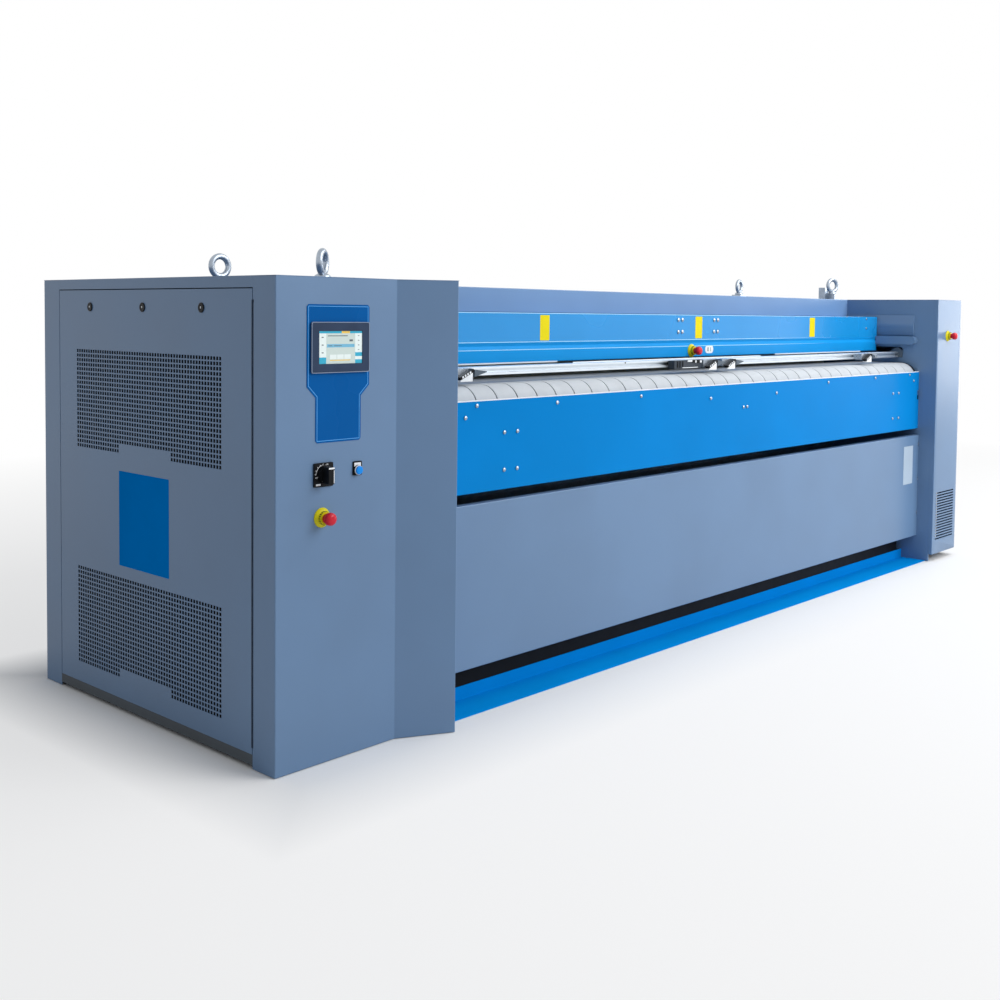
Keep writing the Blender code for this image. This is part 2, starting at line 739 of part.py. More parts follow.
def make(name, bm, mat, origin=(0, 0, 0), smooth=False):
    """Turns finished geometry into one named object with its origin at the given place."""
    bmesh.ops.translate(bm, verts=bm.verts, vec=-Vector(origin))
    mesh = bpy.data.meshes.new(name)
    bm.to_mesh(mesh)
    bm.free()
    mesh.materials.append(mat)
    if smooth:
        mesh.shade_smooth()
        mesh.set_sharp_from_angle(angle=SMOOTH_ANGLE)
    obj = bpy.data.objects.new(name, mesh)
    bpy.context.scene.collection.objects.link(obj)
    obj.parent = machine
    obj.location = origin
    return obj


def combine(target, tool_bm, operation, label, solver="EXACT"):
    """Joins a shape to a piece or cuts it out, both in the machine's own measures.

    The exact solver leaves open edges on some sizes of the side frames and the chest, whose
    closed pieces the manifold solver joins.
    """
    tool = make(target.name + "_" + label, tool_bm, target.data.materials[0])
    tool.hide_render = True
    tool.display_type = "WIRE"
    step = target.modifiers.new(label, "BOOLEAN")
    step.operation = operation
    step.object = tool
    step.solver = solver


def merge_flats(target):
    """Merges the flat pieces that joining and cutting leave on a flat face."""
    step = target.modifiers.new("flats", "DECIMATE")
    step.decimate_type = "DISSOLVE"
    step.angle_limit = FLAT_ANGLE


# Side frames and the sheet covers of the two ends

def wall_holes(with_pipes):
    """The holes that both side frames have, and the pipe holes of the right one."""
    holes = [bore((ROLL_Y, ROLL_Z), FRAME_BORE, BEARING_SEGMENTS)]
    for y, z in ((NOSE_ROLLER_Y, NOSE_ROLLER_Z), (TAIL_ROLLER_Y, TAIL_ROLLER_Z)):
        holes.append(bore((y, z), SPINDLE_RADIUS + SPINDLE_HOLE_PLAY, SPINDLE_SEGMENTS))
    slot_rear = ROD_Y + RAIL_TRAVEL + SEAM + SLOT_END
    holes.append(slot_outline(SLOT_FRONT, slot_rear, SLOT_LOW, SLOT_HIGH, SLOT_STEPS))
    if with_pipes:
        for y, z in pipe_starts():
            holes.append(bore((y, z), PIPE_HOLE, SPINDLE_SEGMENTS))
    return holes


def side_frame(name, wall, way, front, with_pipes):
    """A side plate with its bearings, the base tube it stands on and its feed guides.

    The linen passes on the side that way points to; the rest of the end lies behind.
    """
    bm = bmesh.new()
    outline = rectangle(front + COVER_LIP + FIT, COVER_LIFT, FRAME_REAR, COVER_TOP)
    back = wall - way * PLATE
    add_plate(bm, outline, wall_holes(with_pipes), "X", min(wall, back), max(wall, back))
    frame = make(name, bm, GREY_PAINT)
    into = back + way * WELD
    housings = bmesh.new()
    ends = sorted((into, back - way * BEARING_THICK))
    ring = circle((ROLL_Y, ROLL_Z), BEARING_RADIUS, BEARING_SEGMENTS)
    hole = bore((ROLL_Y, ROLL_Z), JOURNAL_RADIUS + JOURNAL_PLAY, BEARING_SEGMENTS)
    add_plate(housings, ring, [hole], "X", ends[0], ends[1])
    ends = sorted((into, back - way * SPINDLE_BEARING_THICK))
    for y, z in ((NOSE_ROLLER_Y, NOSE_ROLLER_Z), (TAIL_ROLLER_Y, TAIL_ROLLER_Z)):
        half = SPINDLE_BEARING
        flange = rectangle(y - half, z - half, y + half, z + half)
        hole = bore((y, z), SPINDLE_RADIUS + SPINDLE_PLAY, SPINDLE_SEGMENTS)
        add_plate(housings, flange, [hole], "X", ends[0], ends[1])
    combine(frame, housings, "UNION", "bearings", "MANIFOLD")
    combine(frame, feed_guides(wall - way * WELD, wall, way), "UNION", "guides", "MANIFOLD")
    tube = bmesh.new()
    ends = sorted((into, into - way * RUNNER_SIZE))
    add_tube(tube, (ends[0], SHEET + FIT, RUNNER_LOW),
             (ends[1], FRAME_REAR - FIT, RUNNER_LOW + RUNNER_SIZE), RUNNER_WALL, "Y")
    combine(frame, tube, "UNION", "tube", "MANIFOLD")
    combine(frame, feet(sum(ends) / 2), "UNION", "feet", "MANIFOLD")


def left_front_cover():
    """Front corner post, flat face, canted wing and its lip, bent from one sheet."""
    path = [(0, POST_FRONT), (0, 0), (LEFT_FACE_WIDTH, 0), (LEFT_WALL, -WING_REACH),
            (LEFT_WALL, COVER_LIP - WING_REACH)]
    bm = bmesh.new()
    add_sheet(bm, path, SHEET, "Z", COVER_LIFT, COVER_TOP)
    make("left_front_cover", bm, GREY_PAINT)


def left_rear_cover():
    """Rear corner post and rear sheet, with the hole for the exhaust collar."""
    path = [(LEFT_WALL, DEPTH - COVER_LIP), (LEFT_WALL, DEPTH), (0, DEPTH), (0, DEPTH - POST_REAR)]
    bm = bmesh.new()
    add_sheet(bm, path, SHEET, "Z", COVER_LIFT, COVER_TOP)
    cover = make("left_rear_cover", bm, GREY_PAINT)
    tool = bmesh.new()
    ring = bore(collar_centre(), COLLAR_RADIUS + SHEET, COLLAR_SEGMENTS)
    add_prism(tool, ring, "Y", DEPTH - OVERRUN, DEPTH + OVERRUN)
    combine(cover, tool, "DIFFERENCE", "cut")


def left_top_cover():
    """Top sheet that follows the plan of the end, with the header over the side panel."""
    plan = [(0, 0), (LEFT_FACE_WIDTH, 0), (LEFT_WALL, -WING_REACH), (LEFT_WALL, DEPTH), (0, DEPTH)]
    bm = bmesh.new()
    add_prism(bm, plan, "Z", HEIGHT - SHEET, HEIGHT)
    cover = make("left_top_cover", bm, GREY_PAINT)
    tool = bmesh.new()
    add_box(tool, (0, POST_FRONT + FIT, HEIGHT - HEADER_DROP),
            (SHEET, DEPTH - POST_REAR - FIT, HEIGHT - SHEET / 2))
    combine(cover, tool, "UNION", "header")


def feet(x):
    """Two levelling feet, one near each end of a base tube."""
    bm = bmesh.new()
    top = RUNNER_LOW + WELD
    profile = [(0, 0), (0, FOOT_RADIUS), (FOOT_PAD, FOOT_RADIUS - FOOT_PAD / 2),
               (FOOT_PAD, FOOT_STEM_RADIUS), (top, FOOT_STEM_RADIUS), (top, 0)]
    for y in (FOOT_INSET, DEPTH - FOOT_INSET):
        add_turned(bm, profile, "Z", (x, y), FOOT_SEGMENTS)
    return bm


def outer_runner(name, low_x, inward, with_sill):
    """Base tube under the outer side of one end, with its feet, and on the left the sill."""
    bm = bmesh.new()
    add_tube(bm, (low_x, SHEET + FIT, RUNNER_LOW),
             (low_x + RUNNER_SIZE, DEPTH - SHEET - FIT, RUNNER_LOW + RUNNER_SIZE),
             RUNNER_WALL, "Y")
    runner = make(name, bm, CAST_IRON)
    combine(runner, feet(low_x + RUNNER_SIZE / 2 + inward), "UNION", "feet")
    if with_sill:
        sill = bmesh.new()
        path = [(0, SILL_BOTTOM), (0, SILL_TOP), (low_x + WELD, SILL_TOP)]
        section = sheet_outline(path, -SHEET)
        add_prism(sill, section, "Y", POST_FRONT + FIT, DEPTH - POST_REAR - FIT)
        combine(runner, sill, "UNION", "sill")


def vent_lines(first, count):
    """The two edges of each hole in a run of holes."""
    lines = []
    for k in range(count):
        start = first + k * VENT_PITCH
        lines.append((start, start + VENT_HOLE))
    return lines


def left_side_panel():
    """Removable side panel: two stepped fields of square holes, and a folded rim."""
    columns = vent_lines(VENT_FRONT, VENT_COLUMNS)
    upper = vent_lines(UPPER_VENT_TOP - (VENT_ROWS - 1) * VENT_PITCH - VENT_HOLE, VENT_ROWS)
    lower = vent_lines(LOWER_VENT_BOTTOM, VENT_ROWS)
    under = upper[0][0] - VENT_WEB
    over = lower[-1][1] + VENT_WEB
    short_rows = ((under - VENT_STEP_HOLE, under), (over, over + VENT_STEP_HOLE))
    outer_columns = columns[:VENT_STEP_COLUMNS] + columns[-VENT_STEP_COLUMNS:]
    holes = [rectangle(y0, z0, y1, z1) for z0, z1 in upper + lower for y0, y1 in columns]
    holes += [rectangle(y0, z0, y1, z1) for z0, z1 in short_rows for y0, y1 in outer_columns]
    for k in range(LOCK_COUNT):
        middle = (LOCK_FIRST + k * LOCK_SPACING, LOCK_HEIGHT)
        holes.append(bore(middle, LOCK_SHAFT_RADIUS + FIT, BUTTON_SEGMENTS))
    outline = rectangle(PANEL_FRONT_Y, PANEL_LOW, PANEL_REAR_Y, PANEL_HIGH)
    bm = bmesh.new()
    add_plate(bm, outline, holes, "X", 0, PANEL_SHEET)
    panel = make("left_side_panel", bm, GREY_PAINT, (0, PANEL_FRONT_Y, PANEL_LOW))
    out = PANEL_SHEET / 3
    into = out + PANEL_SHEET
    rim = rectangle(PANEL_FRONT_Y + out, PANEL_LOW + out, PANEL_REAR_Y - out, PANEL_HIGH - out)
    gap = rectangle(PANEL_FRONT_Y + into, PANEL_LOW + into, PANEL_REAR_Y - into,
                    PANEL_HIGH - into)
    tool = bmesh.new()
    add_plate(tool, rim, [gap], "X", PANEL_SHEET / 2, PANEL_SHEET + PANEL_RETURN)
    combine(panel, tool, "UNION", "rim")


def side_panel_lock(k):
    """A quarter-turn lock: slotted head, shaft through the panel and a tongue behind it."""
    y = LOCK_FIRST + k * LOCK_SPACING
    bm = bmesh.new()
    profile = [(-LOCK_PROUD, 0), (-LOCK_PROUD, LOCK_HEAD_RADIUS), (-FIT, LOCK_HEAD_RADIUS),
               (-FIT, LOCK_SHAFT_RADIUS), (LOCK_SHAFT_LENGTH, LOCK_SHAFT_RADIUS),
               (LOCK_SHAFT_LENGTH, 0)]
    add_turned(bm, profile, "X", (y, LOCK_HEIGHT), BUTTON_SEGMENTS)
    lock = make("left_panel_lock_%d" % (k + 1), bm, BLACK_PLASTIC, (0, y, LOCK_HEIGHT), True)
    half = LOCK_TONGUE_WIDTH / 2
    start = LOCK_SHAFT_LENGTH - WELD
    tongue = bmesh.new()
    add_box(tongue, (start, y - half, LOCK_HEIGHT - half),
            (start + LOCK_TONGUE_THICK, y + half, LOCK_HEIGHT + LOCK_TONGUE_LENGTH))
    combine(lock, tongue, "UNION", "tongue")
    slot = bmesh.new()
    add_box(slot, (-LOCK_PROUD - OVERRUN, y - LOCK_SLOT_WIDTH / 2, LOCK_HEIGHT - OVERRUN),
            (LOCK_SLOT_DEPTH - LOCK_PROUD, y + LOCK_SLOT_WIDTH / 2, LOCK_HEIGHT + OVERRUN))
    combine(lock, slot, "DIFFERENCE", "slot")


def right_front_cover():
    """Front of the right end, with its field of louvres low down."""
    path = [(RIGHT_WALL, COVER_LIP - RIGHT_END_FORWARD), (RIGHT_WALL, -RIGHT_END_FORWARD),
            (RIGHT_SIDE, -RIGHT_END_FORWARD), (RIGHT_SIDE, POST_FRONT - RIGHT_END_FORWARD)]
    bm = bmesh.new()
    add_sheet(bm, path, SHEET, "Z", RIGHT_FRONT_BOTTOM, COVER_TOP)
    cover = make("right_front_cover", bm, GREY_PAINT)
    tool = bmesh.new()
    for k in range(LOUVRE_COUNT):
        z = LOUVRE_BOTTOM + k * LOUVRE_PITCH
        add_box(tool, (RIGHT_WALL + LOUVRE_SIDE_MARGIN, -RIGHT_END_FORWARD - OVERRUN, z),
                (RIGHT_SIDE - LOUVRE_SIDE_MARGIN, OVERRUN - RIGHT_END_FORWARD, z + LOUVRE_OPEN))
    combine(cover, tool, "DIFFERENCE", "cut")


def right_side_cover():
    """Outer side and rear of the right end, bent from one sheet, with two pipe holes."""
    front = POST_FRONT - RIGHT_END_FORWARD + SEAM
    path = [(RIGHT_SIDE, front), (RIGHT_SIDE, DEPTH), (RIGHT_WALL, DEPTH),
            (RIGHT_WALL, DEPTH - COVER_LIP)]
    bm = bmesh.new()
    add_sheet(bm, path, SHEET, "Z", COVER_LIFT, COVER_TOP)
    cover = make("right_side_cover", bm, GREY_PAINT)
    tool = bmesh.new()
    for (y, z), inset in zip(pipe_starts(), PIPE_INSETS):
        ring = bore((RIGHT_WALL + inset, z), PIPE_HOLE, SPINDLE_SEGMENTS)
        add_prism(tool, ring, "Y", DEPTH - OVERRUN, DEPTH + OVERRUN)
    combine(cover, tool, "DIFFERENCE", "cut")


def right_top_cover():
    """Top sheet of the right end."""
    bm = bmesh.new()
    add_box(bm, (RIGHT_WALL, -RIGHT_END_FORWARD, HEIGHT - SHEET), (RIGHT_SIDE, DEPTH, HEIGHT))
    make("right_top_cover", bm, GREY_PAINT)


# Sheet work between the ends

def hood_cover():
    """Hood over the roll: front lip on the beam, front face, top and rear flange."""
    lip = BEAM_TOP + FIT
    path = [(DEPTH, HEIGHT - HOOD_REAR_FLANGE), (DEPTH, HEIGHT), (HOOD_FRONT, HEIGHT),
            (HOOD_FRONT, lip), (HOOD_FRONT + HOOD_LIP, lip)]
    bm = bmesh.new()
    add_sheet(bm, path, SHEET, "X", INNER_LEFT, INNER_RIGHT)
    make("hood_cover", bm, GREY_PAINT)


def front_beam():
    """Bright blue beam over the feed opening, with a pressed crease along it."""
    crease = (BEAM_CREASE_HIGH + BEAM_CREASE_LOW) / 2
    path = [(HOOD_FRONT + HOOD_LIP, BEAM_TOP), (BEAM_FRONT, BEAM_TOP),
            (BEAM_FRONT, BEAM_CREASE_HIGH), (BEAM_FRONT + BEAM_CREASE_DEPTH, crease),
            (BEAM_FRONT, BEAM_CREASE_LOW), (BEAM_FRONT, BEAM_BOTTOM),
            (BEAM_FRONT + BEAM_BOTTOM_RETURN, BEAM_BOTTOM)]
    bm = bmesh.new()
    end = GUIDE_THICK + FIT
    add_sheet(bm, path, SHEET, "X", INNER_LEFT + end, INNER_RIGHT - end)
    make("front_beam", bm, BLUE_PAINT)


def feed_guides(start, wall, way):
    """A ridged guide that also carries the beam, and a nosed bar below it."""
    bm = bmesh.new()
    middle = (NOSE_LOW + NOSE_HIGH) / 2
    radius = (NOSE_HIGH - NOSE_LOW) / 2
    nose = [(BEAM_FRONT - FIT, NOSE_LOW), (BEAM_FRONT - FIT, NOSE_HIGH)]
    for s in range(NOSE_STEPS + 1):
        angle = math.pi / 2 + math.pi * s / NOSE_STEPS
        nose.append((NOSE_FRONT + radius + radius * math.cos(angle),
                     middle + radius * math.sin(angle)))
    ridge = [(start, GUIDE_LOW), (wall + way * GUIDE_EDGE, GUIDE_LOW),
             (wall + way * GUIDE_THICK, GUIDE_RIDGE - GUIDE_EDGE),
             (wall + way * GUIDE_THICK, GUIDE_RIDGE + GUIDE_EDGE),
             (wall + way * GUIDE_EDGE, GUIDE_HIGH), (start, GUIDE_HIGH)]
    add_prism(bm, ridge, "Y", GUIDE_FRONT, GUIDE_REAR)
    ends = sorted((start, wall + way * NOSE_THICK))
    add_prism(bm, nose, "X", ends[0], ends[1])
    return bm


def feed_guard_panel():
    """Blue panel in front of the feed belts, hemmed under at the bottom."""
    path = [(GUARD_FRONT, GUARD_HIGH), (GUARD_FRONT, GUARD_LOW),
            (GUARD_FRONT + GUARD_RETURN, GUARD_LOW)]
    bm = bmesh.new()
    add_sheet(bm, path, SHEET, "X", INNER_LEFT, INNER_RIGHT)
    make("feed_guard_panel", bm, BLUE_PAINT)


def lower_front_panel():
    """Grey apron below the outfeed gap, with folded top and bottom edges."""
    path = [(APRON_FRONT + APRON_RETURN, APRON_HIGH), (APRON_FRONT, APRON_HIGH),
            (APRON_FRONT, APRON_LOW), (APRON_FRONT + APRON_RETURN, APRON_LOW)]
    bm = bmesh.new()
    add_sheet(bm, path, SHEET, "X", INNER_LEFT, INNER_RIGHT)
    make("lower_front_panel", bm, GREY_PAINT)


def kick_plate():
    """Blue kick plate with a wide flange on the floor, its left front corner cut off."""
    path = [(KICK_FACE, KICK_HIGH), (KICK_FACE, KICK_FLOOR), (KICK_FACE - KICK_REACH, KICK_FLOOR)]
    bm = bmesh.new()
    add_sheet(bm, path, KICK_SHEET, "X", INNER_LEFT, INNER_RIGHT)
    plate = make("kick_plate", bm, BLUE_PAINT)
    front = KICK_FACE - KICK_REACH
    corner = [(INNER_LEFT - OVERRUN, front - OVERRUN), (INNER_LEFT + KICK_CHAMFER, front - OVERRUN),
              (INNER_LEFT + KICK_CHAMFER, front), (INNER_LEFT, front + KICK_CHAMFER),
              (INNER_LEFT - OVERRUN, front + KICK_CHAMFER)]
    tool = bmesh.new()
    add_prism(tool, corner, "Z", -OVERRUN, OVERRUN)
    combine(plate, tool, "DIFFERENCE", "corner")


def rear_panels():
    """Three flat rear panels side by side on the two rails that carry them."""
    rear = DEPTH - SHEET + WELD
    bm = bmesh.new()
    for top in (RAIL_LOW_BASE + REAR_RAIL_HIGH, REAR_RAIL_TOP):
        add_tube(bm, (INNER_LEFT, rear - REAR_RAIL_DEEP, top - REAR_RAIL_HIGH),
                 (INNER_RIGHT, rear, top), TUBE_WALL, "X")
    rails = make("rear_panels", bm, GREY_PAINT)
    width = (INNER_RIGHT - INNER_LEFT - (REAR_PANEL_COUNT - 1) * SEAM) / REAR_PANEL_COUNT
    panels = bmesh.new()
    for k in range(REAR_PANEL_COUNT):
        x = INNER_LEFT + k * (width + SEAM)
        add_box(panels, (x, DEPTH - SHEET, REAR_PANEL_LOW),
                (x + width, DEPTH, HEIGHT - HOOD_REAR_FLANGE - SEAM))
    combine(rails, panels, "UNION", "panels")


# Structure under and behind the roll

def cross_beam_top():
    """The level on which the chest's ribs stand."""
    return ROLL_Z - CHEST_OUTER - RIB_STAND


def cross_beam():
    """Oblong beam from end to end that carries the chest."""
    bm = bmesh.new()
    top = cross_beam_top() - FIT
    add_tube(bm, (INNER_LEFT, ROLL_Y - CROSS_BEAM_DEEP / 2, top - CROSS_BEAM_HIGH),
             (INNER_RIGHT, ROLL_Y + CROSS_BEAM_DEEP / 2, top), TUBE_WALL, "X")
    make("chest_cross_beam", bm, CAST_IRON)


def chest_point(radius, step):
    """A corner of the chest's section whose flats touch the radius."""
    angle = math.pi + math.pi * step / CHEST_STEPS
    out = radius / math.cos(CHEST_HALF_STEP)
    return (ROLL_Y + out * math.cos(angle), ROLL_Z + out * math.sin(angle))


def heated_chest():
    """Half-round heated trough under the roll: flared lip, ribs below, two pipes."""
    inner = [chest_point(CHEST_INNER, s) for s in range(CHEST_STEPS + 1)]
    outer = [chest_point(CHEST_OUTER, s) for s in range(CHEST_STEPS + 1)]
    for side in (inner, outer):
        side.insert(0, (side[0][0] - CHEST_LIP_REACH, side[0][1] + CHEST_LIP_RISE))
    left = LEFT_WALL + CHEST_END_GAP
    right = RIGHT_WALL - CHEST_END_GAP
    bm = bmesh.new()
    add_strip(bm, inner, outer, "X", left, right)
    chest = make("heated_chest", bm, BARE_STEEL)
    first = CHEST_STEPS // 4
    into = CHEST_OUTER - CHEST_THICK / 4
    arc = [chest_point(into, s) for s in range(first, CHEST_STEPS - first + 1)]
    low = cross_beam_top()
    half = CROSS_BEAM_DEEP / 2
    rib = arc + [(ROLL_Y + half, low), (ROLL_Y - half, low)]
    ribs = bmesh.new()
    step = (right - left - RIB_THICK - 2 * WELD) / (RIB_COUNT - 1)
    for k in range(RIB_COUNT):
        x = left + WELD + k * step
        add_prism(ribs, rib, "X", x, x + RIB_THICK)
    combine(chest, ribs, "UNION", "ribs", "MANIFOLD")
    pipes = bmesh.new()
    for start, inset in zip(pipe_starts(), PIPE_INSETS):
        add_pipe(pipes, pipe_route(start, inset), PIPE_RADIUS, PIPE_SIDES)
    combine(chest, pipes, "UNION", "pipes", "MANIFOLD")


def pipe_starts():
    """Where the two heating pipes leave the end of the chest."""
    middle = CHEST_INNER + CHEST_THICK / 2
    return [chest_point(middle, s) for s in PIPE_STEP_INDEXES]


def pipe_route(start, inset):
    """Out of the chest's end, through the side frame, round one bend and out at the rear."""
    y, z = start
    turn_x = RIGHT_WALL + inset
    points = [(RIGHT_WALL - CHEST_END_GAP - OVERRUN, y, z)]
    for s in range(PIPE_BEND_STEPS + 1):
        angle = math.pi / 2 * s / PIPE_BEND_STEPS
        points.append((turn_x - PIPE_BEND + PIPE_BEND * math.sin(angle),
                       y + PIPE_BEND - PIPE_BEND * math.cos(angle), z))
    points.append((turn_x, DEPTH + PIPE_REACH, z))
    return points


# Ironing roll and what drives it

def roll_ends():
    """The faces of the roll's two end discs."""
    return LEFT_WALL + ROLL_END_GAP, RIGHT_WALL - ROLL_END_GAP


def journal_ends():
    """The tips of the roll's two journals."""
    left = LEFT_WALL - PLATE - BEARING_THICK - GEARBOX_THICK - JOURNAL_PROUD
    return left, RIGHT_WALL + PLATE + BEARING_THICK + JOURNAL_PROUD


def roll_shell():
    """Hollow steel roll with end discs and hollow journals, turned in one piece."""
    left, right = roll_ends()
    tip_left, tip_right = journal_ends()
    outer = ROLL_RADIUS - PADDING
    inner = outer - ROLL_WALL
    profile = [(tip_left, JOURNAL_RADIUS), (left, JOURNAL_RADIUS), (left, outer), (right, outer),
               (right, JOURNAL_RADIUS), (tip_right, JOURNAL_RADIUS), (tip_right, JOURNAL_BORE),
               (right - ROLL_DISC, JOURNAL_BORE), (right - ROLL_DISC, inner),
               (left + ROLL_DISC, inner), (left + ROLL_DISC, JOURNAL_BORE),
               (tip_left, JOURNAL_BORE)]
    bm = bmesh.new()
    add_turned(bm, profile, "X", (ROLL_Y, ROLL_Z), ROLL_SEGMENTS)
    make("roll_shell", bm, BARE_STEEL, (left, ROLL_Y, ROLL_Z), True)


def roll_padding():
    """Sleeve of springy felt round the roll."""
    left, right = roll_ends()
    inner = corner_radius(ROLL_RADIUS - PADDING + FIT, ROLL_SEGMENTS)
    profile = [(left, inner), (left, ROLL_RADIUS), (right, ROLL_RADIUS), (right, inner)]
    bm = bmesh.new()
    add_turned(bm, profile, "X", (ROLL_Y, ROLL_Z), ROLL_SEGMENTS)
    make("roll_padding", bm, ROLL_CLOTH, (left, ROLL_Y, ROLL_Z), True)


def gearbox_span():
    """Where the gearbox starts and ends along the roll's axis."""
    right = LEFT_WALL - PLATE - BEARING_THICK - 2 * FIT
    return right - GEARBOX_THICK, right


def roll_gearbox():
    """Hollow-shaft gearbox on the roll's left journal, with a foot for its motor."""
    low, high = gearbox_span()
    outline = []
    for s in range(GEARBOX_STEPS + 1):
        angle = math.pi * s / GEARBOX_STEPS
        outline.append((ROLL_Y + GEARBOX_RADIUS * math.cos(angle),
                        ROLL_Z + GEARBOX_RADIUS * math.sin(angle)))
    foot = ROLL_Z - GEARBOX_DROP
    outline += [(ROLL_Y - GEARBOX_FOOT, foot), (ROLL_Y + GEARBOX_FOOT, foot)]
    hole = bore((ROLL_Y, ROLL_Z), JOURNAL_RADIUS + JOURNAL_PLAY, BEARING_SEGMENTS)
    bm = bmesh.new()
    add_plate(bm, outline, [hole], "X", low, high)
    make("roll_gearbox", bm, CAST_IRON)


def motor_profile(start, way, radius, length):
    """A flanged motor: mounting flange, barrel and fan cowl, from its face outwards."""
    flange = start + way * MOTOR_FLANGE
    cowl = start + way * (length - MOTOR_COWL)
    end = start + way * length
    return [(start, 0), (start, radius + MOTOR_FLANGE_EDGE), (flange, radius + MOTOR_FLANGE_EDGE),
            (flange, radius), (cowl, radius), (cowl, radius + MOTOR_COWL_EDGE),
            (end, radius), (end, 0)]


def drive_motors():
    """The gear motor of the roll and the motor of the feed belts."""
    low, high = gearbox_span()
    foot = ROLL_Z - GEARBOX_DROP - FIT
    bm = bmesh.new()
    add_turned(bm, motor_profile(foot, -1, ROLL_MOTOR_RADIUS, ROLL_MOTOR_LENGTH), "Z",
               ((low + high) / 2, ROLL_Y), MOTOR_SEGMENTS)
    make("roll_motor", bm, CAST_IRON, ((low + high) / 2, ROLL_Y, foot), True)
    face = RIGHT_WALL + PLATE + SPINDLE_BEARING_THICK + FIT
    bm = bmesh.new()
    add_turned(bm, motor_profile(face, 1, FEED_MOTOR_RADIUS, FEED_MOTOR_LENGTH), "X",
               (NOSE_ROLLER_Y, NOSE_ROLLER_Z), MOTOR_SEGMENTS)
    make("feed_motor", bm, CAST_IRON, (face, NOSE_ROLLER_Y, NOSE_ROLLER_Z), True)


# Exhaust fan

def scroll_path():
    """The scroll's outer wall: over the outlet, round the fan, and under the outlet."""
    outlet = DEPTH - SHEET - FIT
    points = [(outlet, FAN_Z + FAN_INNER + FAN_GROWTH)]
    sweep = 3 * math.pi / 2
    for s in range(FAN_STEPS + 1):
        angle = math.pi / 2 + sweep * s / FAN_STEPS
        r = FAN_INNER + FAN_GROWTH * (1 - s / FAN_STEPS)
        points.append((FAN_Y + r * math.cos(angle), FAN_Z + r * math.sin(angle)))
    points.append((outlet, FAN_Z))
    return points


def collar_centre():
    """The middle of the fan's outlet, as x and z."""
    return (FAN_X + FAN_WIDTH / 2, FAN_Z + (FAN_INNER + FAN_GROWTH) / 2)


def fan_housing():
    """Scroll housing of the exhaust fan, open at inlet and outlet, with its motor."""
    path = scroll_path()
    bm = bmesh.new()
    add_prism(bm, path, "X", FAN_X - SHEET, FAN_X + FAN_WIDTH + SHEET)
    housing = make("fan_housing", bm, GALVANISED)
    room = offset_path(path, SHEET)
    room[0] = (room[0][0] + OVERRUN, room[0][1])
    room[-1] = (room[-1][0] + OVERRUN, room[-1][1])
    cavity = bmesh.new()
    add_prism(cavity, room, "X", FAN_X, FAN_X + FAN_WIDTH)
    combine(housing, cavity, "DIFFERENCE", "cavity")
    inlet = bmesh.new()
    add_prism(inlet, bore((FAN_Y, FAN_Z), FAN_INLET, BEARING_SEGMENTS), "X",
              FAN_X - SHEET - OVERRUN, FAN_X + OVERRUN)
    combine(housing, inlet, "DIFFERENCE", "inlet")
    plate = FAN_X + FAN_WIDTH + SHEET
    motor = bmesh.new()
    add_turned(motor, motor_profile(plate - WELD, 1, FAN_MOTOR_RADIUS, FAN_MOTOR_LENGTH), "X",
               (FAN_Y, FAN_Z), MOTOR_SEGMENTS)
    combine(housing, motor, "UNION", "motor")
    shaft = bmesh.new()
    add_prism(shaft, bore((FAN_Y, FAN_Z), IMPELLER_SHAFT + FIT, MOTOR_SEGMENTS), "X",
              plate - SHEET - OVERRUN, plate + OVERRUN)
    combine(housing, shaft, "DIFFERENCE", "shaft")


def fan_impeller():
    """Radial-bladed impeller and its shaft."""
    bm = bmesh.new()
    outline = []
    half = IMPELLER_BLADE_THICK / 2
    for k in range(IMPELLER_BLADES):
        angle = 2 * math.pi * k / IMPELLER_BLADES
        turn = Matrix.Rotation(angle, 2)
        root = math.sqrt(IMPELLER_HUB ** 2 - half ** 2)
        for u, v in ((root, -half), (IMPELLER_RADIUS, -half), (IMPELLER_RADIUS, half), (root, half)):
            spun = turn @ Vector((u, v))
            outline.append((FAN_Y + spun.x, FAN_Z + spun.y))
    middle = FAN_X + FAN_WIDTH / 2
    add_prism(bm, outline, "X", middle - IMPELLER_WIDTH / 2, middle + IMPELLER_WIDTH / 2)
    impeller = make("fan_impeller", bm, GALVANISED, (middle, FAN_Y, FAN_Z))
    tool = bmesh.new()
    shaft = circle((FAN_Y, FAN_Z), IMPELLER_SHAFT, MOTOR_SEGMENTS)
    add_prism(tool, shaft, "X", middle, FAN_X + FAN_WIDTH + SHEET + OVERRUN - FIT)
    combine(impeller, tool, "UNION", "shaft")


def exhaust_collar():
    """Round collar with a flange, where the exhaust duct slides on at the rear."""
    inner = COLLAR_RADIUS - COLLAR_WALL
    flange = COLLAR_RADIUS + COLLAR_FLANGE
    face = DEPTH + FIT
    profile = [(DEPTH - SHEET - FIT, inner), (DEPTH + COLLAR_REACH, inner),
               (DEPTH + COLLAR_REACH, COLLAR_RADIUS), (face + COLLAR_FLANGE_THICK, COLLAR_RADIUS),
               (face + COLLAR_FLANGE_THICK, flange), (face, flange), (face, COLLAR_RADIUS),
               (DEPTH - SHEET - FIT, COLLAR_RADIUS)]
    bm = bmesh.new()
    add_turned(bm, profile, "Y", collar_centre(), COLLAR_SEGMENTS)
    make("exhaust_collar", bm, GALVANISED, smooth=True)


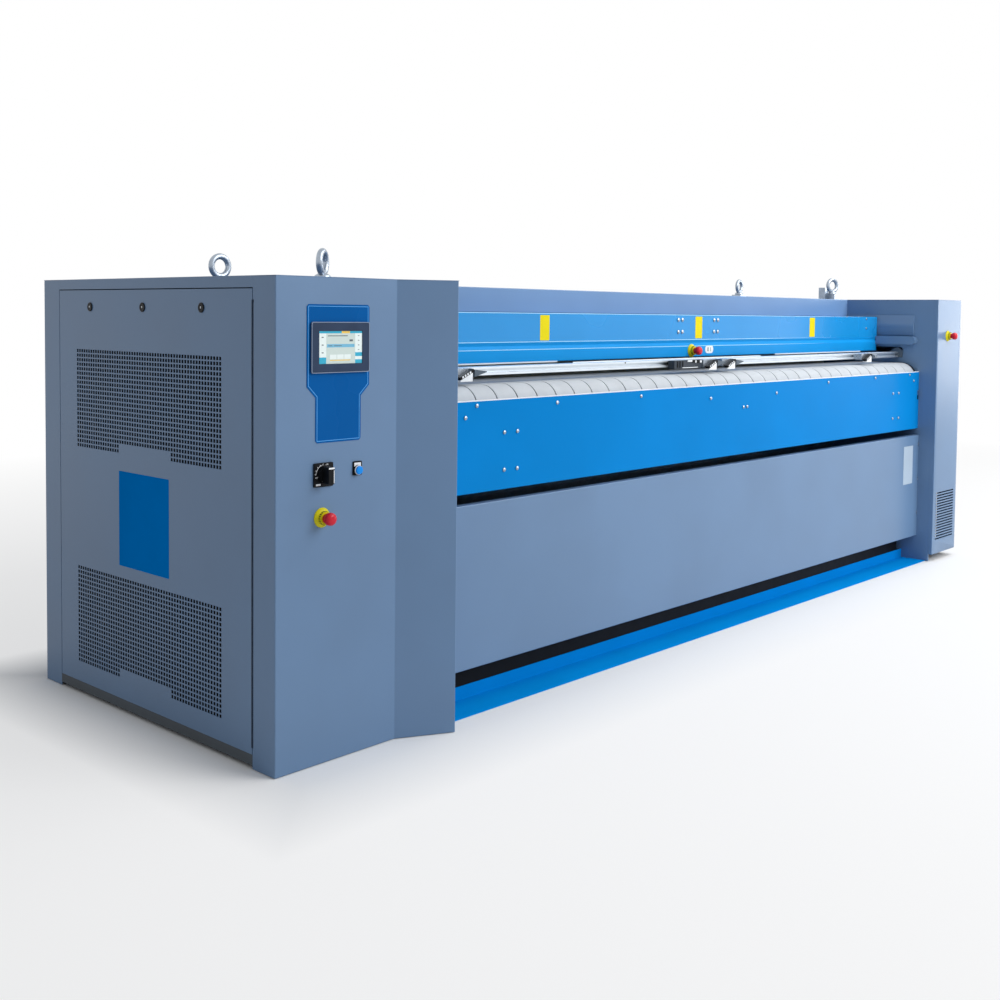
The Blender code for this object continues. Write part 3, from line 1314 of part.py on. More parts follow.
def electrical_box():
    """Steel box for the switchgear, closed behind and open towards the front face."""
    front = SHEET + FIT
    right = CABINET_LEFT + CABINET_WIDTH
    bm = bmesh.new()
    add_box(bm, (CABINET_LEFT, front, CABINET_LOW), (right, front + CABINET_DEEP, CABINET_HIGH))
    box = make("electrical_box", bm, GALVANISED)
    room = bmesh.new()
    add_box(room, (CABINET_LEFT + SHEET, front - OVERRUN, CABINET_LOW + SHEET),
            (right - SHEET, front + CABINET_DEEP - SHEET, CABINET_HIGH - SHEET))
    combine(box, room, "DIFFERENCE", "room")


# Feed belts and their rollers

def belt_loop(extra):
    """The run of a belt round both rollers, as a closed ring whose flats touch them."""
    rise = TAIL_ROLLER_Z - NOSE_ROLLER_Z
    tilt = math.atan2(rise, TAIL_ROLLER_Y - NOSE_ROLLER_Y)
    top = math.pi / 2
    under = 3 * math.pi / 2 + 2 * tilt
    arcs = ((NOSE_ROLLER_Y, NOSE_ROLLER_Z, NOSE_ROLLER_RADIUS, top, under, NOSE_ARC_STEPS),
            (TAIL_ROLLER_Y, TAIL_ROLLER_Z, TAIL_ROLLER_RADIUS, under, top + 2 * math.pi,
             TAIL_ARC_STEPS))
    points = []
    for y, z, radius, start, end, steps in arcs:
        step = (end - start) / steps
        out = (radius + FIT + extra) / math.cos(step / 2)
        for s in range(steps):
            angle = start + step * (s + 1 / 2)
            points.append((y + out * math.cos(angle), z + out * math.sin(angle)))
    return points


def belt_first():
    """The left edge of the first belt, with the row of belts centred in the opening."""
    row = BELT_COUNT * BELT_PITCH - BELT_GAP
    return LEFT_WALL + (CLEAR_WIDTH - row) / 2


def feed_belts():
    """Endless flat belts side by side round the feed rollers, on the bed that holds them up."""
    top = BELT_INNER_TOP + BELT_THICK / 3
    path = [(BED_REAR, top - BED_DROP), (BED_REAR, top), (BED_FRONT, top),
            (BED_FRONT, top - BED_DROP)]
    bm = bmesh.new()
    add_sheet(bm, path, SHEET, "X", INNER_LEFT, INNER_RIGHT)
    bed = make("feed_belts", bm, BELT_CLOTH)
    belts = bmesh.new()
    outer = belt_loop(BELT_THICK)
    inner = belt_loop(0)
    count = len(outer)
    for k in range(BELT_COUNT):
        first = len(belts.faces)
        x = belt_first() + k * BELT_PITCH
        rings = []
        for points, place in ((outer, x), (outer, x + BELT_PITCH - BELT_GAP),
                              (inner, x + BELT_PITCH - BELT_GAP), (inner, x)):
            rings.append([belts.verts.new((place, y, z)) for y, z in points])
        for r in range(len(rings)):
            here = rings[r]
            after = rings[(r + 1) % len(rings)]
            for i in range(count):
                j = (i + 1) % count
                belts.faces.new((here[i], here[j], after[j], after[i]))
        turn_outwards(belts, first)
    combine(bed, belts, "UNION", "belts")


def feed_roller(name, y, z, radius):
    """A tube roller with end discs and hollow spindles through both side frames."""
    left = LEFT_WALL + ROLLER_END_GAP
    right = RIGHT_WALL - ROLLER_END_GAP
    reach = PLATE + SPINDLE_BEARING_THICK
    tip_left = LEFT_WALL - reach
    tip_right = RIGHT_WALL + reach
    inner = radius - ROLLER_WALL
    profile = [(tip_left, SPINDLE_RADIUS), (left, SPINDLE_RADIUS), (left, radius), (right, radius),
               (right, SPINDLE_RADIUS), (tip_right, SPINDLE_RADIUS), (tip_right, SPINDLE_BORE),
               (right - ROLLER_DISC, SPINDLE_BORE), (right - ROLLER_DISC, inner),
               (left + ROLLER_DISC, inner), (left + ROLLER_DISC, SPINDLE_BORE),
               (tip_left, SPINDLE_BORE)]
    bm = bmesh.new()
    add_turned(bm, profile, "X", (y, z), ROLLER_SEGMENTS)
    make(name, bm, ALUMINIUM, (left, y, z), True)


# Clamp rail and the four feed clamps

def clamp_rail():
    """Grooved rail, and at each end an arm and a rod that runs in the wall's slot."""
    rear = RAIL_FRONT + RAIL_DEEP
    deep = RAIL_FRONT + RAIL_GROOVE_DEEP
    section = [(RAIL_FRONT, RAIL_LOW), (rear, RAIL_LOW), (rear, RAIL_HIGH), (RAIL_FRONT, RAIL_HIGH),
               (RAIL_FRONT, RAIL_GROOVE_HIGH), (deep, RAIL_GROOVE_HIGH),
               (deep, RAIL_GROOVE_LOW), (RAIL_FRONT, RAIL_GROOVE_LOW)]
    room = ARM_CLEAR + ARM_THICK / 2
    bm = bmesh.new()
    add_prism(bm, section, "X", LEFT_WALL + room, RIGHT_WALL - room)
    rail = make("clamp_rail", bm, ALUMINIUM, (LEFT_WALL, ROD_Y, ROD_Z))
    low = RAIL_LOW + WELD
    arm = [(ROD_Y - ARM_DEEP / 2, ROD_Z), (ROD_Y - ARM_DEEP / 2, low), (rear - WELD, low),
           (rear - WELD, RAIL_HIGH - WELD), (ROD_Y + ARM_DEEP / 2, ARM_HIGH), (ROD_Y, ARM_HIGH)]
    rod = circle((ROD_Y, ROD_Z), ROD_RADIUS, ROD_SEGMENTS)
    tip = PLATE + ROD_PROUD
    arms = bmesh.new()
    rods = bmesh.new()
    for wall, way in ((LEFT_WALL, 1), (RIGHT_WALL, -1)):
        ends = sorted((wall + way * ARM_CLEAR, wall + way * (ARM_CLEAR + ARM_THICK)))
        add_prism(arms, arm, "X", ends[0], ends[1])
        ends = sorted((wall - way * tip, wall + way * room))
        add_prism(rods, rod, "X", ends[0], ends[1])
    combine(rail, arms, "UNION", "arms")
    combine(rail, rods, "UNION", "rods")


def clamp_front():
    """The front face of every clamp."""
    return RAIL_FRONT - FIT - CARRIAGE_DEEP - FIT - CLAMP_THICK


def clamp_carriage(k):
    """A carriage with its tongue in the rail's groove, a wedge-shaped lower jaw and a taper.

    One of them also carries the housing of the drive beside it.
    """
    x = CLAMP_POSITIONS[k]
    front = RAIL_FRONT - FIT
    groove_low = RAIL_GROOVE_LOW + FIT
    groove_high = RAIL_GROOVE_HIGH - FIT
    section = [(front - CARRIAGE_DEEP, CARRIAGE_LOW), (front, CARRIAGE_LOW), (front, groove_low),
               (front + CARRIAGE_TONGUE, groove_low), (front + CARRIAGE_TONGUE, groove_high),
               (front, groove_high), (front, CARRIAGE_HIGH),
               (front - CARRIAGE_DEEP, CARRIAGE_HIGH)]
    bm = bmesh.new()
    left_end = x - CARRIAGE_WIDTH / 2
    add_prism(bm, section, "X", left_end, left_end + CARRIAGE_WIDTH)
    carriage = make("clamp_carriage_%d" % (k + 1), bm, ZINC, (x, RAIL_FRONT, RAIL_LOW))
    left = x - CLAMP_WIDTH / 2
    right = x + CLAMP_WIDTH / 2
    wedge = [(left, CLAMP_LOW), (right, CLAMP_LOW), (right, CLAMP_LOW + CLAMP_TIP + CLAMP_RISE),
             (left, CLAMP_LOW + CLAMP_TIP)]
    tool = bmesh.new()
    add_prism(tool, wedge, "Y", clamp_front(), clamp_front() + CLAMP_THICK + FIT + WELD)
    combine(carriage, tool, "UNION", "wedge")
    root = right + JAW_END + SEAM
    taper = [(root, TAPER_ROOT_LOW), (root + TAPER_LENGTH, TAPER_TIP_LOW),
             (root + TAPER_LENGTH, TAPER_TIP_HIGH), (root, TAPER_ROOT_HIGH)]
    tool = bmesh.new()
    add_prism(tool, taper, "Y", clamp_front(), front - CARRIAGE_DEEP + WELD)
    combine(carriage, tool, "UNION", "taper")
    if k == DRIVE_CLAMP:
        block = bmesh.new()
        outline = round_rectangle(x - DRIVE_BLOCK_REACH, RAIL_LOW - DRIVE_BLOCK_DROP,
                                  left_end + WELD, CARRIAGE_HIGH - WELD, DRIVE_BLOCK_DROP / 2)
        rear = front - WELD
        add_prism(block, outline, "Y", rear - DRIVE_BLOCK_DEEP, rear)
        combine(carriage, block, "UNION", "drive")


def clamp_slope():
    """How steeply the wedge of a clamp rises."""
    return math.atan2(CLAMP_RISE, CLAMP_WIDTH)


def clamp_pivot(k):
    """Where an upper jaw turns, as x and z, with the jaw lying just over the wedge."""
    top = CLAMP_LOW + CLAMP_TIP + CLAMP_RISE
    return (CLAMP_POSITIONS[k] + CLAMP_WIDTH / 2,
            top + (JAW_THICK / 2 + FIT) / math.cos(clamp_slope()))


def clamp_jaw(k):
    """Upper jaw that lies along the wedge: a strip with square windows, hinged at its top."""
    pivot_x, pivot_z = clamp_pivot(k)
    slope = clamp_slope()
    length = CLAMP_WIDTH / math.cos(slope)
    across = Matrix.Rotation(slope, 2)

    def lay(u, v):
        spun = across @ Vector((u, v))
        return (pivot_x + spun.x, pivot_z + spun.y)

    half = JAW_THICK / 2
    strip = [lay(-length, -half), lay(JAW_END, -half), lay(JAW_END, half), lay(-length, half)]
    windows = []
    for w in range(JAW_WINDOWS):
        middle = -length + (w + 1) * length / (JAW_WINDOWS + 1)
        side = JAW_WINDOW_SIZE / 2
        windows.append([lay(middle - side, -side), lay(middle + side, -side),
                        lay(middle + side, side), lay(middle - side, side)])
    bm = bmesh.new()
    add_plate(bm, strip, windows, "Y", clamp_front(), clamp_front() + CLAMP_THICK)
    make("clamp_jaw_%d" % (k + 1), bm, BLACK_PLASTIC, (pivot_x, clamp_front(), pivot_z))


# Operator devices

def hmi_overlay():
    """Blue film with a wide head round the screen and a narrow neck below it."""
    taper = OVERLAY_SHOULDER - OVERLAY_TAPER
    c = OVERLAY_CORNER
    outline = [(OVERLAY_LEFT + c, OVERLAY_HIGH), (OVERLAY_LEFT, OVERLAY_HIGH - c),
               (OVERLAY_LEFT, OVERLAY_SHOULDER), (OVERLAY_NECK_LEFT, taper),
               (OVERLAY_NECK_LEFT, OVERLAY_LOW + c), (OVERLAY_NECK_LEFT + c, OVERLAY_LOW),
               (OVERLAY_NECK_RIGHT - c, OVERLAY_LOW), (OVERLAY_NECK_RIGHT, OVERLAY_LOW + c),
               (OVERLAY_NECK_RIGHT, taper), (OVERLAY_RIGHT, OVERLAY_SHOULDER),
               (OVERLAY_RIGHT, OVERLAY_HIGH - c), (OVERLAY_RIGHT - c, OVERLAY_HIGH)]
    bm = bmesh.new()
    add_prism(bm, outline, "Y", -FIT - OVERLAY_THICK, -FIT)
    make("hmi_overlay", bm, BLUE_FILM)


def screen_corner():
    """The lower left corner of the screen, centred in its panel."""
    return (SCREEN_PANEL_LEFT + (SCREEN_PANEL_WIDTH - SCREEN_WIDTH) / 2,
            SCREEN_PANEL_LOW + (SCREEN_PANEL_HEIGHT - SCREEN_HEIGHT) / 2)


def hmi_panel():
    """Moulded frame of the touch panel."""
    x, z = screen_corner()
    opening = rectangle(x, z, x + SCREEN_WIDTH, z + SCREEN_HEIGHT)
    outline = round_rectangle(SCREEN_PANEL_LEFT, SCREEN_PANEL_LOW,
                              SCREEN_PANEL_LEFT + SCREEN_PANEL_WIDTH,
                              SCREEN_PANEL_LOW + SCREEN_PANEL_HEIGHT, SCREEN_PANEL_CORNER)
    back = -FIT - OVERLAY_THICK - FIT
    bm = bmesh.new()
    add_plate(bm, outline, [opening], "Y", back - SCREEN_PANEL_THICK, back)
    make("hmi_panel", bm, SLATE_PLASTIC)


def hmi_screen():
    """Screen that lies a little below the face of its frame."""
    x, z = screen_corner()
    back = -FIT - OVERLAY_THICK - FIT
    bm = bmesh.new()
    add_box(bm, (x + FIT, back - SCREEN_THICK, z + FIT),
            (x + SCREEN_WIDTH - FIT, back, z + SCREEN_HEIGHT - FIT))
    make("hmi_screen", bm, SCREEN_GLASS)


def main_switch_plate():
    """Square black plate of the main switch."""
    half = MAIN_PLATE / 2
    outline = round_rectangle(MAIN_X - half, MAIN_Z - half, MAIN_X + half, MAIN_Z + half, SEAM)
    bm = bmesh.new()
    add_prism(bm, outline, "Y", -FIT - MAIN_PLATE_THICK, -FIT)
    make("main_switch_plate", bm, BLACK_PLASTIC)


def reset_plate():
    """Black plate of the reset button, with the button's round bezel."""
    middle = (RESET_LEFT + RESET_WIDTH / 2, RESET_Z)
    outline = round_rectangle(RESET_LEFT, RESET_LOW, RESET_LEFT + RESET_WIDTH,
                              RESET_LOW + RESET_HEIGHT, SEAM)
    face = -FIT - RESET_PLATE_THICK
    bm = bmesh.new()
    add_prism(bm, outline, "Y", face, -FIT)
    plate = make("reset_plate", bm, BLACK_PLASTIC)
    bezel = bmesh.new()
    ring = circle(middle, RESET_BEZEL_RADIUS, BUTTON_SEGMENTS)
    add_prism(bezel, ring, "Y", face - RESET_BEZEL_HIGH, face + WELD)
    combine(plate, bezel, "UNION", "bezel")
    hole = bmesh.new()
    ring = bore(middle, RESET_BUTTON_RADIUS + FIT, BUTTON_SEGMENTS)
    add_prism(hole, ring, "Y", face - RESET_BEZEL_HIGH - OVERRUN, OVERRUN)
    combine(plate, hole, "DIFFERENCE", "hole")


def main_switch_handle():
    """Round knob of the main switch with an upright grip across it."""
    face = -2 * FIT - MAIN_PLATE_THICK
    bm = bmesh.new()
    ring = circle((MAIN_X, MAIN_Z), MAIN_KNOB_RADIUS, BUTTON_SEGMENTS)
    add_prism(bm, ring, "Y", face - MAIN_KNOB_DEEP, face)
    knob = make("main_switch_handle", bm, BLACK_PLASTIC, (MAIN_X, face, MAIN_Z), True)
    across = MAIN_GRIP_WIDTH / 2
    up = MAIN_GRIP_HIGH / 2
    outline = round_rectangle(MAIN_X - across, MAIN_Z - up, MAIN_X + across, MAIN_Z + up, SEAM)
    grip = bmesh.new()
    add_prism(grip, outline, "Y", face - MAIN_GRIP_REACH, face - WELD)
    combine(knob, grip, "UNION", "grip")


def reset_button():
    """Round blue button in its bezel."""
    middle = (RESET_LEFT + RESET_WIDTH / 2, RESET_Z)
    tip = -FIT - RESET_PLATE_THICK - RESET_BEZEL_HIGH - RESET_BUTTON_PROUD
    bm = bmesh.new()
    ring = circle(middle, RESET_BUTTON_RADIUS, BUTTON_SEGMENTS)
    add_prism(bm, ring, "Y", tip, -FIT - RESET_TRAVEL)
    make("reset_button", bm, BLUE_PLASTIC, (middle[0], tip, RESET_Z), True)


def estop_face(place):
    """The face that an emergency stop is fixed to."""
    return {"left": 0, "centre": BEAM_FRONT, "right": -RIGHT_END_FORWARD}[place] - FIT


def estop_base(place, x, z):
    """Yellow ring and collar of an emergency stop."""
    face = estop_face(place)
    hole = corner_radius(ESTOP_HOLE, ESTOP_SEGMENTS)
    profile = [(face, hole), (face, ESTOP_RING_RADIUS), (face - ESTOP_RING_HIGH, ESTOP_RING_RADIUS),
               (face - ESTOP_RING_HIGH, ESTOP_COLLAR_RADIUS),
               (face - ESTOP_COLLAR_HIGH, ESTOP_COLLAR_RADIUS), (face - ESTOP_COLLAR_HIGH, hole)]
    bm = bmesh.new()
    add_turned(bm, profile, "Y", (x, z), ESTOP_SEGMENTS)
    make("estop_base_" + place, bm, YELLOW_PLASTIC, (x, face, z), True)


def estop_button(place, x, z):
    """Red mushroom head on its stem."""
    face = estop_face(place)
    stem = face - ESTOP_TRAVEL - ESTOP_STEM_START
    profile = [(stem, 0), (stem, ESTOP_STEM), (face - ESTOP_CAP_LOW, ESTOP_STEM),
               (face - ESTOP_CAP_LOW, ESTOP_CAP_RADIUS), (face - ESTOP_CAP_EDGE, ESTOP_CAP_RADIUS),
               (face - ESTOP_CAP_TOP, ESTOP_CAP_CROWN), (face - ESTOP_CAP_TOP, 0)]
    bm = bmesh.new()
    add_turned(bm, profile, "Y", (x, z), ESTOP_SEGMENTS)
    make("estop_button_" + place, bm, RED_PLASTIC, (x, face, z), True)


# Lifting eyes

def add_eye(bm, x, y, base, turn):
    """A ring that stands upright in the given direction."""
    first = len(bm.faces)
    facing = Matrix.Rotation(turn, 3, "Z")
    middle = Vector((x, y, base + EYE_RADIUS + EYE_BAR))
    rings = []
    for s in range(EYE_STEPS):
        angle = 2 * math.pi * s / EYE_STEPS
        out = Vector((math.cos(angle), 0, math.sin(angle)))
        ring = []
        for t in range(EYE_BAR_SIDES):
            spin = 2 * math.pi * t / EYE_BAR_SIDES
            local = out * (EYE_RADIUS + EYE_BAR * math.cos(spin))
            local = local + Vector((0, EYE_BAR * math.sin(spin), 0))
            ring.append(bm.verts.new(middle + facing @ local))
        rings.append(ring)
    for s in range(EYE_STEPS):
        here = rings[s]
        after = rings[(s + 1) % EYE_STEPS]
        for t in range(EYE_BAR_SIDES):
            u = (t + 1) % EYE_BAR_SIDES
            bm.faces.new((here[t], here[u], after[u], after[t]))
    turn_outwards(bm, first)


def lifting_eye(name, x, y, turn, padded):
    """A lifting eye with a round collar; on the right end it stands on a square pad."""
    base = HEIGHT + FIT + padded * EYE_PAD_HIGH
    bm = bmesh.new()
    add_eye(bm, x, y, base, turn)
    eye = make(name, bm, ZINC, (x, y, base), True)
    collar = bmesh.new()
    add_prism(collar, circle((x, y), EYE_COLLAR_RADIUS, BUTTON_SEGMENTS), "Z",
              base, base + EYE_COLLAR_HIGH)
    combine(eye, collar, "UNION", "collar")
    if padded:
        pad = bmesh.new()
        half = EYE_PAD_SIZE / 2
        add_box(pad, (x - half, y - half, HEIGHT + FIT), (x + half, y + half, base + WELD))
        combine(eye, pad, "UNION", "pad")


side_frame("left_side_frame", LEFT_WALL, 1, -WING_REACH, False)
side_frame("right_side_frame", RIGHT_WALL, -1, -RIGHT_END_FORWARD, True)
outer_runner("left_outer_runner", PANEL_SHEET + PANEL_RETURN + SEAM, 0, True)
outer_runner("right_outer_runner", RIGHT_SIDE - SHEET - FIT - RUNNER_SIZE, -FOOT_STEM_RADIUS, False)
left_front_cover()
left_rear_cover()
left_top_cover()
left_side_panel()
for index in range(LOCK_COUNT):
    side_panel_lock(index)
right_front_cover()
right_side_cover()
right_top_cover()
hood_cover()
front_beam()
feed_guard_panel()
lower_front_panel()
kick_plate()
rear_panels()
cross_beam()
heated_chest()
roll_shell()
roll_padding()
roll_gearbox()
drive_motors()
fan_housing()
fan_impeller()
exhaust_collar()
electrical_box()
feed_belts()
feed_roller("nose_feed_roller", NOSE_ROLLER_Y, NOSE_ROLLER_Z, NOSE_ROLLER_RADIUS)
feed_roller("tail_feed_roller", TAIL_ROLLER_Y, TAIL_ROLLER_Z, TAIL_ROLLER_RADIUS)
clamp_rail()
for index in range(len(CLAMP_POSITIONS)):
    clamp_carriage(index)
    clamp_jaw(index)
hmi_overlay()
hmi_panel()
hmi_screen()
main_switch_plate()
main_switch_handle()
reset_plate()
reset_button()
for stop_name, stop_x, stop_z in ESTOP_PLACES:
    estop_base(stop_name, stop_x, stop_z)
    estop_button(stop_name, stop_x, stop_z)
for index, (eye_x, eye_y, eye_turn, eye_padded) in enumerate(EYE_PLACES):
    lifting_eye("lifting_eye_%d" % (index + 1), eye_x, eye_y, eye_turn, eye_padded)
for joined in list(bpy.context.scene.objects):
    if any(step.type == "BOOLEAN" for step in joined.modifiers):
        merge_flats(joined)
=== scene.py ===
"""Looks of an industrial chest ironer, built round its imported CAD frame.

Lengths are in metres. Pieces are placed in the machine's own coordinates, which start at the
left end's front corner on the floor: x along the roll, y to the rear, z up.
"""

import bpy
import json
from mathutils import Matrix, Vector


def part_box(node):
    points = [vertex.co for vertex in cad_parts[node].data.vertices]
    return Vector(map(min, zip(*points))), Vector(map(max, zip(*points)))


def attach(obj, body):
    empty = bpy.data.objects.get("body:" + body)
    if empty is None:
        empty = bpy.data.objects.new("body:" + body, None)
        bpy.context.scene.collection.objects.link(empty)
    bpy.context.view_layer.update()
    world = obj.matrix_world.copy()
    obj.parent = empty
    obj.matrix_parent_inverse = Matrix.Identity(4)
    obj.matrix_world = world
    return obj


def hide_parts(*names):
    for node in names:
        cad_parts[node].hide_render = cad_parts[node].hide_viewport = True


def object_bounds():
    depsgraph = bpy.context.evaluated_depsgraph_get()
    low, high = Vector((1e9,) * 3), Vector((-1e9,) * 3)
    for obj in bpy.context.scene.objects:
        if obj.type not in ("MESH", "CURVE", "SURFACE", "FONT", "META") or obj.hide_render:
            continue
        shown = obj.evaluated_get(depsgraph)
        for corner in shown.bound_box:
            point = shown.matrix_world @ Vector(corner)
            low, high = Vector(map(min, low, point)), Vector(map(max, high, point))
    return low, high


bl_info = {
    "name": "Chest Ironer Looks",
    "version": (1, 0, 0),
    "blender": (4, 5, 0),
    "location": "View3D > Sidebar > Ironer",
    "description": "Builds the detailed pieces, finishes and studio of a chest ironer",
    "category": "Object",
}

import json
import math

import bmesh
import bpy
from mathutils import Matrix, Vector

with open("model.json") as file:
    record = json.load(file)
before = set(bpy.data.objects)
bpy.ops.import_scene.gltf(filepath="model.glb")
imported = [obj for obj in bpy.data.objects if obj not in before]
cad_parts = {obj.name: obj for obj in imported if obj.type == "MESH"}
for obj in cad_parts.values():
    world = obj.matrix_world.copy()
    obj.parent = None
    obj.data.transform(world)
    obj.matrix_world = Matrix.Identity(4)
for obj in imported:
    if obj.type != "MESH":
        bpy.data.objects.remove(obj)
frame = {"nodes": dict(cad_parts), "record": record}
CAD_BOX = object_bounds()
CAD = frame["nodes"]

# The machine's own corner in the frame: the side panel's outer face and the front cover's face,
# which lies this far behind the touch panel's back
PANEL_STANDOFF = 0.0016
CORNER = Vector((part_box("left_side_panel")[0].x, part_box("hmi_panel")[1].y + PANEL_STANDOFF, 0.0))

# Where the side panel's three locks are (y, z)
LOCK_PLACES = [(0.344 + 0.312 * k, 1.262) for k in range(3)]
# A print's thickness, and how far a plate that is put on a face stays clear of it
PRINT = 0.0002
CLEAR = 0.0001
# Vertices nearer than this are one, and faces turned less than this are one flat face
MERGE = 0.00002
FLAT = math.radians(0.3)
MATH = "ShaderNodeMath"


def machine_box(node):
    """A CAD node's lowest and highest corners in the machine's own coordinates."""
    low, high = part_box(node)
    return low - CORNER, high - CORNER


def machine_centre(node):
    """The middle of a CAD node's box in the machine's own coordinates."""
    low, high = machine_box(node)
    return (low + high) / 2


def linear(code):
    """An sRGB hex colour as the linear values that Blender's sockets hold."""
    values = [int(code[i:i + 2], 16) / 255 for i in (1, 3, 5)]
    return tuple(v / 12.92 if v <= 0.04045 else ((v + 0.055) / 1.055) ** 2.4 for v in values)


def shade(paint, factor=1.0):
    """Linear values of a hex colour or a colour property, made lighter or darker."""
    values = linear(paint) if isinstance(paint, str) else paint
    return tuple(min(1.0, v * factor) for v in values)


# Sizes and colours that a user can change

def size(name, description, default):
    """A length property in metres."""
    return bpy.props.FloatProperty(
        name=name, description=description, default=default, min=0.0, unit="LENGTH", precision=4)


def colour(name, description, code):
    """A colour property that starts from an sRGB hex value."""
    return bpy.props.FloatVectorProperty(
        name=name, description=description, default=linear(code), size=3, min=0.0, max=1.0,
        subtype="COLOR")


class IronerSizes(bpy.types.PropertyGroup):
    """Sizes of the pieces that repeat."""
    vent_pitch: size("Vent pitch", "Spacing of the side panel's square holes", 0.0145)
    vent_hole: size("Vent hole", "Side of one square hole", 0.0103)
    belt_pitch: size("Belt pitch", "Spacing of the feed belts", 0.0989)
    belt_gap: size("Belt gap", "Gap between two feed belts", 0.0045)
    belt_thickness: size("Belt thickness", "Thickness of a feed belt", 0.0030)
    screw_head: size("Screw head", "Radius of a pan head on the blue sheets", 0.0065)
    rivet_head: size("Rivet head", "Radius of a rivet's head on the rear panels", 0.0045)
    fold_radius: size("Fold radius", "Outer radius of the covers' folds", 0.0036)
    belt_count: bpy.props.IntProperty(
        name="Belts", description="Number of feed belts", default=35, min=1, max=80)


class IronerColours(bpy.types.PropertyGroup):
    """Colours of the machine's finishes."""
    grey: colour("Grey paint", "Powder coat of the covers", "#6583A6")
    blue: colour("Blue paint", "Powder coat of the guard and kick plate", "#047FC9")
    film: colour("Blue film", "Printed film round the touch panel", "#0459A0")
    belt: colour("Belt", "Woven feed belts", "#C3C9CF")
    floor: colour("Floor", "Studio floor", "#F2F2F2")


# Shapes

def at(x, y, z):
    """A place in the machine's own coordinates, as a place in the frame."""
    return Vector((x, y, z)) + CORNER


def turns(count):
    """The angles of count equal steps round a circle."""
    return [2 * math.pi * k / count for k in range(count)]


def circle(a, b, radius, count=24):
    """Points of a circle in a plane."""
    return [(a + radius * math.cos(t), b + radius * math.sin(t)) for t in turns(count)]


def square(a0, a1, b0, b1, inset=0.0):
    """The four corners of a rectangle in a plane, drawn in by an inset."""
    return [(a0 + inset, b0 + inset), (a1 - inset, b0 + inset),
            (a1 - inset, b1 - inset), (a0 + inset, b1 - inset)]


def rounded(x0, x1, z0, z1, radius, steps=5):
    """The outline of a rectangle with round corners."""
    points = []
    for cx, cz, start in ((x1 - radius, z1 - radius, 0), (x0 + radius, z1 - radius, 90),
                          (x0 + radius, z0 + radius, 180), (x1 - radius, z0 + radius, 270)):
        for k in range(steps + 1):
            turn = math.radians(start + 90 * k / steps)
            points.append((cx + radius * math.cos(turn), cz + radius * math.sin(turn)))
    return points


def add_walls(bm, rings, closed=False, material=0):
    """Quads between rings of points, each ring to the next, and the last to the first if closed."""
    loops = [[bm.verts.new(point) for point in ring] for ring in rings]
    for first, second in zip(loops, loops[1:] + loops[:1] if closed else loops[1:]):
        for k in range(len(first)):
            n = (k + 1) % len(first)
            face = bm.faces.new((first[k], first[n], second[n], second[k]))
            face.material_index = material
    return loops


def add_prism(bm, rings, material=0):
    """Walls between two rings of points, and a face on each ring."""
    for ring in add_walls(bm, rings, material=material):
        bm.faces.new(ring).material_index = material


def add_block(bm, low, high, material=0):
    """A box between two corners given in machine coordinates."""
    (x0, y0, z0), (x1, y1, z1) = low, high
    add_prism(bm, [[at(x, y, z) for x, y in square(x0, x1, y0, y1)] for z in (z0, z1)], material)


def add_outline(bm, outline, low, high, material=0, axis="Y"):
    """An outline in (x, z), or in (y, z) for axis X, raised between two planes on the axis."""
    add_prism(bm, [[at(a, along, b) if axis == "Y" else at(along, a, b) for a, b in outline]
                   for along in (low, high)], material)


def add_turned(bm, centre, axis, profile, segments=48):
    """Turns a profile of (along, radius) round an axis; a radius of 0 closes an end."""
    direction = Vector(axis).normalized()
    side = direction.orthogonal().normalized()
    other = direction.cross(side)
    rings = []
    for along, radius in profile:
        middle = centre + direction * along
        places = [middle + (side * math.cos(t) + other * math.sin(t)) * radius
                  for t in turns(segments if radius else 1)]
        rings.append([bm.verts.new(place) for place in places])
    for first, second in zip(rings, rings[1:]):
        for k in range(segments):
            n = (k + 1) % segments
            corners = [first[k % len(first)], first[n % len(first)],
                       second[n % len(second)], second[k % len(second)]]
            corners = list(dict.fromkeys(corners))
            if len(corners) > 2:
                bm.faces.new(corners)


def add_word(bm, word, height, x, y, z, material=0):
    """Raised letters on a front face, centred on x and standing on z."""
    capital_share = 0.7
    curve = bpy.data.curves.new("word", "FONT")
    curve.body = word
    curve.size = height / capital_share
    curve.align_x = "CENTER"
    curve.extrude = CLEAR
    letters = bpy.data.objects.new("word", curve)
    bpy.context.scene.collection.objects.link(letters)
    graph = bpy.context.evaluated_depsgraph_get()
    mesh = bpy.data.meshes.new_from_object(letters.evaluated_get(graph))
    bpy.data.objects.remove(letters)
    mesh.transform(Matrix.Translation(at(x, y, z)) @ Matrix.Rotation(math.pi / 2, 4, "X"))
    start = len(bm.faces)
    bm.from_mesh(mesh)
    bm.faces.ensure_lookup_table()
    for face in bm.faces[start:]:
        face.material_index = material
    bpy.data.meshes.remove(mesh)


def cad_copy(node):
    """A CAD node's mesh with its triangles merged back into flat faces."""
    bm = bmesh.new()
    bm.from_mesh(CAD[node].data)
    bmesh.ops.remove_doubles(bm, verts=bm.verts, dist=MERGE)
    bmesh.ops.dissolve_limit(bm, angle_limit=FLAT, verts=bm.verts, edges=bm.edges)
    return bm


# Pieces

def piece(name, bm, materials, body, replaces=(), smooth=40):
    """Finishes a mesh as a piece that rides on a body and takes its finish from a slot."""
    bmesh.ops.recalc_face_normals(bm, faces=bm.faces)
    mesh = bpy.data.meshes.new(name)
    bm.to_mesh(mesh)
    bm.free()
    return from_mesh(name, mesh, materials, body, replaces, smooth)


